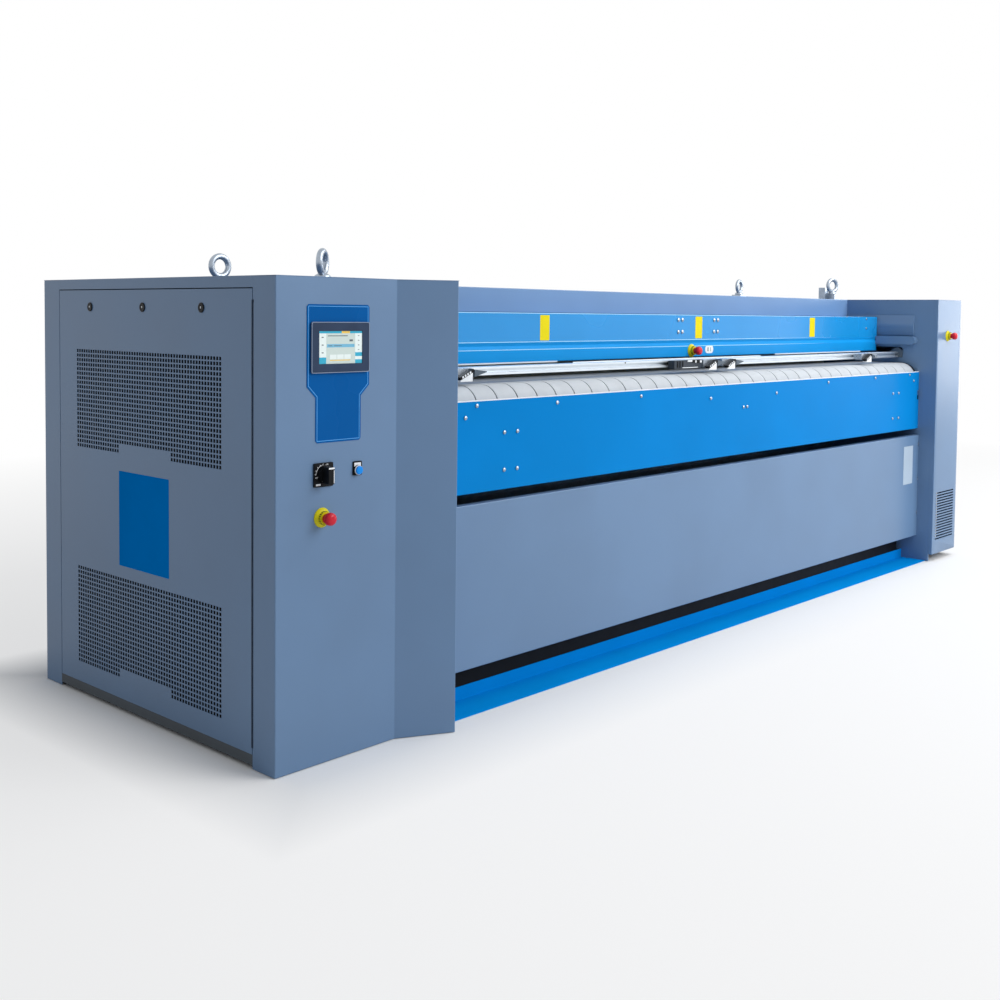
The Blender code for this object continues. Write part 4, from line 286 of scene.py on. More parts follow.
def from_mesh(name, mesh, materials, body, replaces=(), smooth=40):
    """The same for a mesh that is ready."""
    # Clearing the slots would lose which face has which finish
    for k, material in enumerate(materials):
        if k < len(mesh.materials):
            mesh.materials[k] = bpy.data.materials[material]
        else:
            mesh.materials.append(bpy.data.materials[material])
    if smooth:
        mesh.shade_smooth()
        mesh.set_sharp_from_angle(angle=math.radians(smooth))
    piece_object = bpy.data.objects.new(name, mesh)
    bpy.context.scene.collection.objects.link(piece_object)
    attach(piece_object, body)
    if replaces:
        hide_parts(*replaces)
    return piece_object


def blocks(name, boxes, materials, body):
    """A piece of blocks, each given by its two corners and its place in the finishes."""
    bm = bmesh.new()
    for box in boxes:
        add_block(bm, *box)
    return piece(name, bm, materials, body, smooth=0)


def plates(name, shapes, materials, body, axis="Y", smooth=0):
    """A piece of flat plates, each given by its outline, its two planes and its finish."""
    bm = bmesh.new()
    for shape in shapes:
        add_outline(bm, *shape, axis=axis)
    return piece(name, bm, materials, body, smooth=smooth)


def turned(name, centre, axis, profile, material, body, replaces=(), segments=48):
    """A piece that is turned round one axis."""
    bm = bmesh.new()
    add_turned(bm, centre, axis, profile, segments)
    return piece(name, bm, [material], body, replaces)


def frame_line(name, outer, inner, near, far, material):
    """A raised line on the cabinet between two outlines of as many points."""
    bm = bmesh.new()
    add_walls(bm, [[at(x, y, z) for x, z in line] for line, y in
                   ((outer, near), (outer, far), (inner, far), (inner, near))], closed=True)
    piece(name, bm, [material], "cabinet")


def grown(name, bm, tree_name, values):
    """The mesh that a Geometry Nodes tree makes from bm, with its inputs set by name."""
    tree = bpy.data.node_groups[tree_name]
    mesh = bpy.data.meshes.new(name + "_seed")
    bm.to_mesh(mesh)
    bm.free()
    seed = bpy.data.objects.new(name + "_seed", mesh)
    bpy.context.scene.collection.objects.link(seed)
    modifier = seed.modifiers.new("Repeat", "NODES")
    modifier.node_group = tree
    for item in tree.interface.items_tree:
        if item.item_type == "SOCKET" and item.in_out == "INPUT" and item.name in values:
            modifier[item.identifier] = values[item.name]
    seed.update_tag()
    graph = bpy.context.evaluated_depsgraph_get()
    result = bpy.data.meshes.new_from_object(
        seed.evaluated_get(graph), preserve_all_data_layers=True, depsgraph=graph)
    seed.modifiers.remove(modifier)
    bpy.data.objects.remove(seed)
    bpy.data.meshes.remove(mesh)
    return result


# Node trees that repeat a shape

def add_node(tree, kind, inputs=None, **settings):
    """Adds a node with its settings; inputs gives sockets a value, a node or a node's output."""
    node = tree.nodes.new(kind)
    for name, value in settings.items():
        setattr(node, name, value)
    for socket, value in (inputs or {}).items():
        if isinstance(value, bpy.types.Node):
            value = value.outputs[0]
        if isinstance(value, bpy.types.NodeSocket):
            tree.links.new(value, node.inputs[socket])
        else:
            node.inputs[socket].default_value = value
    return node


def new_tree(name, sockets):
    """A Geometry Nodes tree with these named inputs, and the inputs' sockets inside it."""
    tree = bpy.data.node_groups.new(name, "GeometryNodeTree")
    tree.interface.new_socket("Geometry", in_out="INPUT", socket_type="NodeSocketGeometry")
    for label, kind, default in sockets:
        socket = tree.interface.new_socket(label, in_out="INPUT", socket_type=kind)
        if default is not None:
            socket.default_value = default
    tree.interface.new_socket("Material", in_out="INPUT", socket_type="NodeSocketMaterial")
    tree.interface.new_socket("Geometry", in_out="OUTPUT", socket_type="NodeSocketGeometry")
    return tree, add_node(tree, "NodeGroupInput").outputs


def close_tree(tree, given, points, instance, rotation=(0, 0, 0)):
    """Ends a tree: a copy of the instance on each point, as a real mesh with its material."""
    copies = add_node(tree, "GeometryNodeInstanceOnPoints",
                      {"Points": points, "Instance": instance, "Rotation": rotation})
    real = add_node(tree, "GeometryNodeRealizeInstances", {"Geometry": copies})
    painted = add_node(tree, "GeometryNodeSetMaterial",
                       {"Geometry": real, "Material": given["Material"]})
    add_node(tree, "NodeGroupOutput", {0: painted})


def line_tree():
    """Repeats the object's own mesh along a straight line."""
    tree, given = new_tree("repeat_on_line", [
        ("Count", "NodeSocketInt", 10), ("Step", "NodeSocketVector", None)])
    line = add_node(tree, "GeometryNodeMeshLine",
                    {"Count": given["Count"], "Offset": given["Step"]})
    close_tree(tree, given, line, given["Geometry"])


def vent_tree():
    """Repeats a square-holed tile over a grid on a wall, without the middle columns' low rows."""
    tree, given = new_tree("perforated_field", [
        ("Columns", "NodeSocketInt", 56), ("Rows", "NodeSocketInt", 22),
        ("Side Columns", "NodeSocketInt", 18), ("Step Rows", "NodeSocketInt", 2),
        ("Pitch", "NodeSocketFloat", 0.0145)])
    known = {name: given[name] for name in ("Columns", "Rows", "Side Columns", "Step Rows",
                                            "Pitch")}
    known["index"] = add_node(tree, "GeometryNodeInputIndex")
    # Each value, its operation and what goes in; a tile in the middle of a low row is gone
    for name, operation, first, second in (
            ("count", "MULTIPLY", "Columns", "Rows"),
            ("column", "FLOORED_MODULO", "index", "Columns"),
            ("ratio", "DIVIDE", "index", "Columns"),
            ("row", "FLOOR", "ratio", None),
            ("along", "MULTIPLY", "column", "Pitch"),
            ("up", "MULTIPLY", "row", "Pitch"),
            ("right", "SUBTRACT", "Columns", "Side Columns"),
            ("before right", "LESS_THAN", "column", "right"),
            ("before middle", "LESS_THAN", "column", "Side Columns"),
            ("in middle", "SUBTRACT", "before right", "before middle"),
            ("low", "LESS_THAN", "row", "Step Rows"),
            ("gone", "MULTIPLY", "in middle", "low")):
        known[name] = add_node(tree, MATH, {0: known[first], 1: known.get(second, 0.0)},
                               operation=operation)
    points = add_node(tree, "GeometryNodePoints", {"Count": known["count"]})
    place = add_node(tree, "ShaderNodeCombineXYZ", {"Y": known["along"], "Z": known["up"]})
    grid = add_node(tree, "GeometryNodeSetPosition", {"Geometry": points, "Position": place})
    kept = add_node(tree, "GeometryNodeDeleteGeometry",
                    {"Geometry": grid, "Selection": known["gone"]}, domain="POINT")
    close_tree(tree, given, kept, given["Geometry"])


def head_tree():
    """Puts a low domed head, wide side down, on each vertex, facing along a direction."""
    tree, given = new_tree("heads_on_points", [
        ("Radius", "NodeSocketFloat", 0.006), ("Height", "NodeSocketFloat", 0.003),
        ("Facing", "NodeSocketVector", None)])
    flat_share, rim_share = 0.62, 0.5
    flat = add_node(tree, MATH, {0: given["Radius"], 1: flat_share}, operation="MULTIPLY")
    rim = add_node(tree, MATH, {0: given["Height"], 1: rim_share}, operation="MULTIPLY")
    skirt, crown = (add_node(tree, "GeometryNodeMeshCone",
                             {"Vertices": 14, "Radius Top": top,
                              "Radius Bottom": given["Radius"], "Depth": rim})
                    for top in (given["Radius"], flat))
    lift = add_node(tree, "ShaderNodeCombineXYZ", {"Z": rim})
    raised = add_node(tree, "GeometryNodeTransform", {"Geometry": crown, "Translation": lift})
    head = add_node(tree, "GeometryNodeJoinGeometry")
    for half in (skirt, raised):
        tree.links.new(half.outputs[0], head.inputs[0])
    turn = add_node(tree, "FunctionNodeAlignRotationToVector", {"Vector": given["Facing"]},
                    axis="Z")
    close_tree(tree, given, given["Geometry"], head, turn)


# Finishes

def start_material(name):
    """A new material's empty tree, and the coordinates that its patterns read."""
    material = bpy.data.materials.new(name)
    material.use_nodes = True
    tree = material.node_tree
    tree.nodes.clear()
    return tree, add_node(tree, "ShaderNodeTexCoord").outputs["Object"]


def grain(tree, place, feature, stretch=(1, 1, 1), detail=2.0):
    """Noise with features of so many metres, longer along an axis where stretch is small."""
    mapped = add_node(tree, "ShaderNodeMapping", {"Vector": place, "Scale": stretch})
    return add_node(tree, "ShaderNodeTexNoise",
                    {"Vector": mapped, "Scale": 1 / feature, "Detail": detail})


def end_material(tree, paint, tone, shades, rough, relief=None, inputs=None, limits=(0.35, 0.65)):
    """Ends a material with one shader.

    The tone pattern mixes two shades of the paint between its limits. The roughness is a
    number, or a pattern with a middle and a swing. The relief is a pattern, its real depth and
    its strength.
    """
    ramp = add_node(tree, "ShaderNodeValToRGB", {"Fac": tone})
    for element, position, factor in zip(ramp.color_ramp.elements, limits, shades):
        element.position = position
        element.color = (*shade(paint, factor), 1)
    if isinstance(rough, tuple):
        pattern, middle, swing = rough
        rough = add_node(tree, "ShaderNodeMapRange", {
            "Value": pattern, "From Min": 0.3, "From Max": 0.7,
            "To Min": middle - swing, "To Max": middle + swing})
    sockets = {"Base Color": ramp, "Roughness": rough, **(inputs or {})}
    if relief:
        height, depth, strength = relief
        sockets["Normal"] = add_node(tree, "ShaderNodeBump", {
            "Height": height, "Distance": depth, "Strength": strength})
    shader = add_node(tree, "ShaderNodeBsdfPrincipled", sockets)
    add_node(tree, "ShaderNodeOutputMaterial", {"Surface": shader})


def powder_coat(name, paint, gloss=0.36, shine=0.4, clear=0.0):
    """Sprayed polyester powder: semi-gloss with a fine orange peel that softens reflections."""
    tree, place = start_material(name)
    cloud = grain(tree, place, 0.35)
    # Real orange peel is 1 to 2 mm across
    peel = grain(tree, place, 0.0018, detail=1.0)
    end_material(tree, paint, cloud, (0.965, 1.035), (cloud, gloss, 0.03), (peel, 0.00004, 0.5),
                 {"IOR": 1.5, "Specular IOR Level": shine, "Coat Weight": clear,
                  "Coat Roughness": 0.14})


def plated_metal(name, paint, rough, feature, stretch=(1, 1, 1), depth=0.00002, cloudy=0.09):
    """Bare or plated metal: cloudy tint, and fine lines along the way it was worked."""
    tree, place = start_material(name)
    cloud = grain(tree, place, 0.03)
    lines = grain(tree, place, feature, stretch)
    end_material(tree, paint, cloud, (1 - cloudy, 1 + cloudy), (lines, rough, 0.06),
                 (lines, depth, 0.4), {"Metallic": 1.0})


def spangled_zinc(name, paint):
    """Hot-dip galvanised sheet: crystals about 12 mm across that catch the light unevenly."""
    tree, place = start_material(name)
    crystal = add_node(tree, "ShaderNodeTexVoronoi", {"Vector": place, "Scale": 1 / 0.012})
    tone = add_node(tree, "ShaderNodeSeparateColor", {0: crystal.outputs["Color"]})
    end_material(tree, paint, tone, (0.82, 1.1), (tone, 0.45, 0.07), None, {"Metallic": 0.9},
                 (0.0, 1.0))


def open_cell_foam(name, paint):
    """Reticulated filter foam: a matt open web of cells about 2 mm across."""
    tree, place = start_material(name)
    cell = add_node(tree, "ShaderNodeTexVoronoi",
                    {"Vector": place, "Scale": 1 / 0.002}).outputs["Distance"]
    end_material(tree, paint, cell, (0.5, 1.0), 0.95, (cell, 0.001, 0.6),
                 {"Specular IOR Level": 0.1}, (0.1, 0.6))


def moulded_plastic(name, paint, rough=0.42, shine=0.5):
    """Injection-moulded plastic: even colour with a fine spark-eroded grain."""
    tree, place = start_material(name)
    cloud = grain(tree, place, 0.05)
    texture = grain(tree, place, 0.0009)
    end_material(tree, paint, cloud, (0.94, 1.06), (cloud, rough, 0.04),
                 (texture, 0.00004, 0.35), {"IOR": 1.5, "Specular IOR Level": shine})


def printed_film(name, paint, rough=0.28, shine=0.06):
    """Reverse-printed polyester film: smooth, with the faint waviness of a glued sheet."""
    tree, place = start_material(name)
    wave = grain(tree, place, 0.25)
    end_material(tree, paint, wave, (0.96, 1.04), (wave, rough, 0.03), (wave, 0.0001, 0.2),
                 {"IOR": 1.5, "Specular IOR Level": shine})


def lit_display(name, paint, strength=0.10):
    """A lit area of the touch panel's display behind smooth glass."""
    tree, place = start_material(name)
    # The display's pixels are about 0.2 mm apart; drawn at 0.6 mm so that they show close up
    pixels = grain(tree, place, 0.0006)
    end_material(tree, paint, pixels, (0.97, 1.0), 0.16, None,
                 {"IOR": 1.5, "Coat Weight": 0.3, "Emission Color": (*shade(paint), 1),
                  "Emission Strength": strength})


def woven_belt(name, paint):
    """Plain-woven polyester belt: matt, with threads crossing at right angles."""
    tree, place = start_material(name)
    # Threads are about 0.8 mm apart; drawn 3.2 mm apart so that they show. The texture's own
    # bands are 0.314 m apart
    thread, band = 0.0032, 0.314
    warp, weft = (add_node(tree, "ShaderNodeTexWave", {
        "Vector": place, "Scale": band / thread, "Distortion": 0.6, "Detail": 1.0},
        wave_type="BANDS", bands_direction=way) for way in ("X", "DIAGONAL"))
    cross = add_node(tree, MATH, {0: warp, 1: weft}, operation="ADD")
    cloud = grain(tree, place, 0.09)
    end_material(tree, paint, cloud, (0.93, 1.0), 0.82, (cross, 0.0002, 0.35),
                 {"Sheen Weight": 0.15})


def needled_felt(name, paint):
    """Needled aramid felt: matt, fibrous, slightly mottled."""
    tree, place = start_material(name)
    fibres = grain(tree, place, 0.003, (1, 0.4, 0.4), 4.0)
    patches = grain(tree, place, 0.12)
    end_material(tree, paint, patches, (0.86, 1.04), 0.92, (fibres, 0.0006, 0.6),
                 {"Sheen Weight": 0.3})


def painted_casting(name, paint):
    """Painted sand casting: a pebbled surface with a dull paint film."""
    tree, place = start_material(name)
    pebbles = grain(tree, place, 0.004, detail=3.0)
    cloud = grain(tree, place, 0.15)
    end_material(tree, paint, cloud, (0.85, 1.1), (cloud, 0.56, 0.06), (pebbles, 0.0004, 0.5),
                 {"IOR": 1.5})


def make_all(maker, *rows):
    """Makes a material of one kind from each row: its name and then the maker's values."""
    for row in rows:
        maker(*row)


class IRONER_OT_finishes(bpy.types.Operator):
    """Makes every finish and gives the CAD pieces theirs"""
    bl_idname = "ironer.finishes"
    bl_label = "Finishes"
    by_slot = {
        "grey_paint": "grey_powder_coated_steel", "blue_paint": "blue_powder_coated_steel",
        "structural_steel": "painted_cast_iron", "cast_iron": "painted_cast_iron",
        "bare_steel": "ground_steel", "galvanised_steel": "hot_dip_galvanised_sheet",
        "aluminium": "drawn_anodised_aluminium", "zinc": "zinc_plated_steel",
        "roll_cloth": "needled_aramid_felt", "belt_cloth": "woven_polyester_belt",
        "overlay_film": "reverse_printed_film", "slate_plastic": "slate_abs",
        "screen_glass": "display_panel", "black_plastic": "black_abs",
        "yellow_plastic": "yellow_polyamide", "red_plastic": "red_polyamide",
        "blue_plastic": "blue_polyamide"}

    def execute(self, context):
        colours = context.scene.ironer_colours
        make_all(powder_coat,
                 ("grey_powder_coated_steel", colours.grey, 0.34, 0.45),
                 ("blue_powder_coated_steel", colours.blue, 0.42, 0.03),
                 # The kick plate's blue: a lighter, matt copy of the guard's, painted light for the
                 # reflection it lacks
                 ("satin_blue_powder_coated_steel", shade(colours.blue, 1.25), 0.5, 0.0),
                 # Pale blue for the painted highlights on the beam's folds and top edge
                 ("pale_blue_powder_coated_steel", "#A8E0FF", 0.3, 0.3),
                 ("gloss_blue_powder_coated_steel", "#0A8CD2", 0.26, 0.4, 0.25),
                 # A lighter copy of the beam's blue for its faces below the crease: painted light
                 ("light_blue_powder_coated_steel", "#0F93DC", 0.4, 0.10),
                 # The hood's lighter copy of the grey paint: painted light for the light that falls
                 # on it
                 ("light_grey_powder_coated_steel", shade(colours.grey, 1.28), 0.36, 0.35),
                 ("graphite_powder_coated_steel", "#4F5C69", 0.4, 0.3),
                 # White paint of the reset bezel, also used for the painted highlights on the
                 # beam's, rail's and guard's edges
                 ("white_edge_trim", "#E6EAEE", 0.4))
        make_all(printed_film,
                 ("reverse_printed_film", colours.film), ("light_blue_print", "#5FAAEA"),
                 ("blue_vinyl_sheet", "#007BD0", 0.5, 0.0),
                 ("yellow_vinyl_sheet", "#E3D31C", 0.4), ("white_print", "#EDEFF2", 0.4),
                 ("dark_print", "#23282E", 0.4), ("pale_grey_print", "#A9BACB", 0.4))
        # Rails and rollers are drawn or ground along x, so their lines are long in x
        make_all(plated_metal,
                 ("zinc_plated_steel", "#A2ACB8", 0.30, 0.004),
                 ("drawn_anodised_aluminium", "#D3DCE4", 0.42, 0.0008, (0.02, 1, 1), 0.00001,
                  0.02),
                 ("ground_steel", "#9A9EA2", 0.38, 0.0010, (0.05, 1, 1)))
        make_all(moulded_plastic,
                 ("black_abs", "#0C0E12", 0.42, 0.15), ("slate_abs", "#2F3E57", 0.38, 0.15),
                 ("grey_abs_edge", "#7E8CA3", 0.4), ("dark_grey_abs", "#2B343F", 0.45, 0.3),
                 ("white_polyamide", "#E8ECEF", 0.4),
                 ("yellow_polyamide", "#D8CC14", 0.4, 0.2),
                 ("red_polyamide", "#D01E33", 0.3, 0.25),
                 ("blue_polyamide", "#0A8CEA", 0.3, 0.2),
                 ("black_edge_rubber", "#0B0C0F", 0.6, 0.15))
        make_all(lit_display,
                 ("display_white", "#DFEAE8", 0.16), ("display_panel", "#C3D2CD", 0.14),
                 ("display_cyan", "#18A3C4", 0.14), ("display_blue", "#6DB3D2"),
                 ("display_orange", "#E9C25A", 0.14), ("display_grey", "#56646B", 0.03))
        woven_belt("woven_polyester_belt", colours.belt)
        needled_felt("needled_aramid_felt", "#D8CDAE")
        spangled_zinc("hot_dip_galvanised_sheet", "#A9B0B5")
        painted_casting("painted_cast_iron", "#3E464D")
        # Black foam behind the vents, painted shade that keeps the holes dark
        open_cell_foam("black_filter_foam_painted_shade", "#0D0E10")
        for part in frame["record"]["subparts"]:
            node = CAD[part["node"]]
            node.data.materials.clear()
            finish = self.by_slot[part["material_slot"]]
            if part["node"].endswith("feed_roller"):
                # Black rubber on the feed rollers, painted shade that makes the gaps between the
                # belts show as dark lines
                finish = "black_edge_rubber"
            node.data.materials.append(bpy.data.materials[finish])
        return {"FINISHED"}


# Sheet metal

def mark_folds(bm):
    """Full weight on outer folds, less on inner ones, none on the sheet's cut edges."""
    cut_edge = 0.0036
    inner_share = 0.45
    least_fold = math.radians(12)
    layer = bm.edges.layers.float.new("bevel_weight_edge")
    bm.normal_update()
    narrow = {face for face in bm.faces
              if face.calc_area() / max(face.calc_perimeter() / 2, 1e-6) < cut_edge}
    for edge in bm.edges:
        if len(edge.link_faces) != 2 or narrow.intersection(edge.link_faces):
            continue
        if edge.calc_face_angle(0.0) > least_fold:
            edge[layer] = 1.0 if edge.is_convex else inner_share


class IRONER_OT_covers(bpy.types.Operator):
    """Gives the bent covers the small rounding of folded sheet"""
    bl_idname = "ironer.covers"
    bl_label = "Folded covers"
    crease = 1.153
    paints = {"left_front_cover": "grey", "left_top_cover": "grey", "left_rear_cover": "grey",
              "right_front_cover": "grey", "right_side_cover": "grey",
              # The hood takes a lighter copy of the grey paint, as painted light
              "right_top_cover": "grey", "hood_cover": "light_grey",
              "lower_front_panel": "grey", "front_beam": "gloss_blue",
              # The kick plate takes a lighter, matt copy of the blue, as painted light
              "feed_guard_panel": "blue", "kick_plate": "satin_blue"}

    def execute(self, context):
        for node, paint in self.paints.items():
            bm = cad_copy(node)
            mark_folds(bm)
            finishes = [paint + "_powder_coated_steel"]
            if node == "front_beam":
                # Painted light: faces below the crease take a lighter, less shiny copy of the beam's
                # blue, for the light that they catch
                finishes.append("light_blue_powder_coated_steel")
                for face in bm.faces:
                    face.material_index = int(face.calc_center_median().z < self.crease)
            cover = piece(node + "_folded", bm, finishes, "cabinet", (node,), 20)
            edge = cover.modifiers.new("Folds", "BEVEL")
            edge.width = context.scene.ironer_sizes.fold_radius
            edge.segments = 3
            edge.limit_method = "WEIGHT"
            edge.harden_normals = True
        return {"FINISHED"}


def stepped_border(columns, side, rows, step, pitch, left, low):
    """Corner points (y, z) round a perforated field, one at each tile's edge."""
    corners = [(0, 0), (side, 0), (side, step), (columns - side, step), (columns - side, 0),
               (columns, 0), (columns, rows), (0, rows)]
    points = []
    for (a, b), (c, d) in zip(corners, corners[1:] + corners[:1]):
        count = abs(c - a) + abs(d - b)
        points += [(a + (c - a) * k // count, b + (d - b) * k // count) for k in range(count)]
    return [(left + a * pitch, low + b * pitch) for a, b in points]


class IRONER_OT_side_panel(bpy.types.Operator):
    """Left side panel with its two fields of small square holes"""
    bl_idname = "ironer.side_panel"
    bl_label = "Perforated side panel"

    def execute(self, context):
        sizes = context.scene.ironer_sizes
        pitch = sizes.vent_pitch
        low, high = machine_box("left_side_panel")
        sheet, fold, lock_radius = 0.0015, 0.018, 0.0098
        columns, side, rows, step = 56, 18, 22, 2
        left, bases = 0.6515 - columns * pitch / 2, (0.8095, 0.1055)

        def ring(x, outline):
            """An outline in (y, z) as points in the plane x."""
            return [at(x, y, z) for y, z in outline]

        def sides(inset):
            """The panel's own outline, drawn in by an inset."""
            return square(low.y, high.y, low.z, high.z, inset)

        bm = bmesh.new()
        holes = [circle(y, z, lock_radius) for y, z in LOCK_PLACES]
        borders = [stepped_border(columns, side, rows, step, pitch, left, base)
                   for base in bases]
        for x, inset in ((0.0, 0.0), (sheet, sheet)):
            edges = []
            for outline in [sides(inset)] + holes + borders:
                corners = [bm.verts.new(point) for point in ring(x, outline)]
                edges += [bm.edges.new(pair) for pair in zip(corners, corners[1:] + corners[:1])]
            bmesh.ops.triangle_fill(bm, edges=edges, use_beauty=True)
        for hole in holes:
            add_walls(bm, [ring(x, hole) for x in (0.0, sheet)])
        add_walls(bm, [ring(x, sides(inset)) for x, inset in
                       ((0, 0), (fold, 0), (fold, sheet), (sheet, sheet))])

        margin = (pitch - sizes.vent_hole) / 2
        for base in bases:
            tile = bmesh.new()
            add_walls(tile, [ring(x, square(left, left + pitch, base, base + pitch, inset))
                             for x, inset in ((0, 0), (0, margin), (sheet, margin), (sheet, 0))])
            bmesh.ops.recalc_face_normals(tile, faces=tile.faces)
            made = grown("vent", tile, "perforated_field", {
                "Columns": columns, "Rows": rows, "Side Columns": side, "Step Rows": step,
                "Pitch": pitch, "Material": bpy.data.materials["grey_powder_coated_steel"]})
            bm.from_mesh(made)
            bpy.data.meshes.remove(made)
        bmesh.ops.remove_doubles(bm, verts=bm.verts, dist=MERGE)
        piece("side_panel_perforated", bm, ["grey_powder_coated_steel"], "side_panel",
              ("left_side_panel",), 30)

        # Each black filter mat lies behind its field and laps over it all round, as painted shade
        # that keeps the holes dark
        lap, clear, thick = 0.006, 0.0003, 0.008
        for k, base in enumerate(bases):
            outline = rounded(left - lap, left + columns * pitch + lap, base - lap,
                              base + rows * pitch + lap, 0.004)
            foam = plates("filter_mat_%d" % (k + 1),
                          [(outline, sheet + clear, sheet + clear + thick)],
                          ["black_filter_foam_painted_shade"], "side_panel", "X", 30)
        plates("side_square_sheet", [(rounded(0.515, 0.797, 0.461, 0.756, 0.003), -0.0003, 0.0)],
               ["blue_vinyl_sheet"], "side_panel", "X", 40)
        return {"FINISHED"}


# Fixings

def heads(name, places, facing, radius, height):
    """Zinc-plated screw or rivet heads on places given in machine coordinates."""
    bm = bmesh.new()
    for place in places:
        bm.verts.new(at(*place))
    mesh = grown(name, bm, "heads_on_points", {
        "Radius": radius, "Height": height, "Facing": facing,
        "Material": bpy.data.materials["zinc_plated_steel"]})
    from_mesh(name, mesh, ["zinc_plated_steel"], "cabinet")


class IRONER_OT_fixings(bpy.types.Operator):
    """Screws and rivets of the sheets"""
    bl_idname = "ironer.fixings"
    bl_label = "Screws and rivets"

    def execute(self, context):
        sizes = context.scene.ironer_sizes
        proud = 0.0008
        guard = machine_box("feed_guard_panel")[0].y - proud
        beam = machine_box("front_beam")[0].y - proud
        near = (0, -1, 0)
        # Where the photograph shows the heads (x, z)
        edge = [(0.806, 0.963), (0.755, 0.927), (1.2, 0.955), (1.68, 0.956), (2.148, 0.927),
                (2.66, 0.928), (3.123, 0.958), (3.6, 0.962), (3.989, 0.966), (4.039, 0.934)]
        pairs = [(0.936, 0.871), (0.999, 0.871), (0.936, 0.749), (0.999, 0.749), (2.395, 0.881),
                 (2.423, 0.881), (3.801, 0.878), (3.865, 0.878), (3.801, 0.753), (3.867, 0.753)]
        heads("guard_screws", [(x, guard, z) for x, z in edge + pairs], near,
              sizes.screw_head, 0.004)
        heads("beam_screws", [(x + dx, beam, z) for x in (2.265, 2.535)
                              for dx in (-0.0145, 0.0145) for z in (1.187, 1.237)],
              near, 0.008, 0.0045)
        heads("beam_end_screws", [(x, beam, z) for x in (3.965, 0.735) for z in (1.248, 1.199)],
              near, 0.006, 0.003)
        low, high = machine_box("rear_panels")
        rear = high.y + proud
        panels, along, side, rim = 3, 5, 0.03, 0.02
        width = (high.x - low.x) / panels
        places = []
        for panel in range(panels):
            for k in range(along):
                x = low.x + panel * width + side + (width - 2 * side) * k / (along - 1)
                places += [(x, rear, low.z + rim), (x, rear, high.z - rim)]
        heads("rear_screws", places, (0, 1, 0), sizes.rivet_head, 0.0025)
        return {"FINISHED"}


# Touch panel and switches

def neck_outline(inset):
    """The blue film's outline, a wide top on a narrower neck, drawn in by an inset."""
    low, high = machine_box("hmi_overlay")
    neck_left, neck_right, shoulder, taper = 0.133, 0.294, 1.050, 0.030
    slope = inset * 0.5
    return [(low.x + inset, high.z - inset), (low.x + inset, shoulder + slope),
            (neck_left + inset, shoulder - taper + slope), (neck_left + inset, low.z + inset),
            (neck_right - inset, low.z + inset), (neck_right - inset, shoulder - taper + slope),
            (high.x - inset, shoulder + slope), (high.x - inset, high.z - inset)]


class IRONER_OT_touch_panel(bpy.types.Operator):
    """Line on the blue film, the touch panel's frame edge and its display"""
    bl_idname = "ironer.touch_panel"
    bl_label = "Touch panel"

    def execute(self, context):
        film = machine_box("hmi_overlay")[0].y
        line_outside, line_inside = 0.0045, 0.0062
        frame_line("film_line", neck_outline(line_outside), neck_outline(line_inside),
                   film - PRINT, film, "light_blue_print")

        low, high = machine_box("hmi_panel")
        over, inner, proud, deep = 0.0004, 0.0016, 0.0006, 0.002
        frame_line("touch_panel_edge",
                   rounded(low.x - over, high.x + over, low.z - over, high.z + over, 0.005),
                   rounded(low.x + inner, high.x - inner, low.z + inner, high.z - inner, 0.004),
                   low.y - proud, low.y + deep, "grey_abs_edge")

        low, high = machine_box("hmi_screen")
        wide, tall, front = high.x - low.x, high.z - low.z, low.y
        # Shares of the display: left, right, bottom, top, layer, and which finish
        areas = [(0, 1, 0, 1, 0, 0), (0, 1, 0.93, 1, 1, 2), (0.52, 0.71, 0.93, 1, 2, 4),
                 (0, 0.165, 0, 0.2, 1, 2), (0.165, 0.835, 0, 0.93, 1, 1),
                 (0.835, 1, 0.22, 0.34, 1, 2), (0.835, 1, 0.0, 0.12, 1, 2),
                 (0.18, 0.82, 0.50, 0.60, 2, 3), (0.25, 0.72, 0.09, 0.12, 2, 4),
                 (0.2, 0.66, 0.84, 0.865, 2, 5), (0.7, 0.78, 0.68, 0.74, 2, 5),
                 (0.21, 0.3, 0.54, 0.56, 3, 5), (0.34, 0.52, 0.54, 0.56, 3, 5)]
        for k in range(3):
            areas += [(0.015, 0.15, 0.24 + 0.235 * k, 0.44 + 0.235 * k, 2, 0),
                      (0.06, 0.105, 0.325 + 0.235 * k, 0.355 + 0.235 * k, 3, 5),
                      (0.25 + 0.165 * k, 0.4 + 0.165 * k, 0.14, 0.28, 2, 0)]
        for k in range(4):
            areas += [(0.85, 0.985, 0.36 + 0.145 * k, 0.48 + 0.145 * k, 2, 0),
                      (0.9, 0.935, 0.41 + 0.145 * k, 0.43 + 0.145 * k, 3, 5)]
        glass, layer_step = 0.00005, 0.00006
        blocks("display_picture", [
            ((low.x + left * wide, front - glass - layer_step * (layer + 1),
              low.z + bottom * tall), (low.x + right * wide, front, low.z + top * tall), tone)
            for left, right, bottom, top, layer, tone in areas],
            ["display_white", "display_panel", "display_cyan", "display_blue",
             "display_orange", "display_grey"], "cabinet")
        return {"FINISHED"}


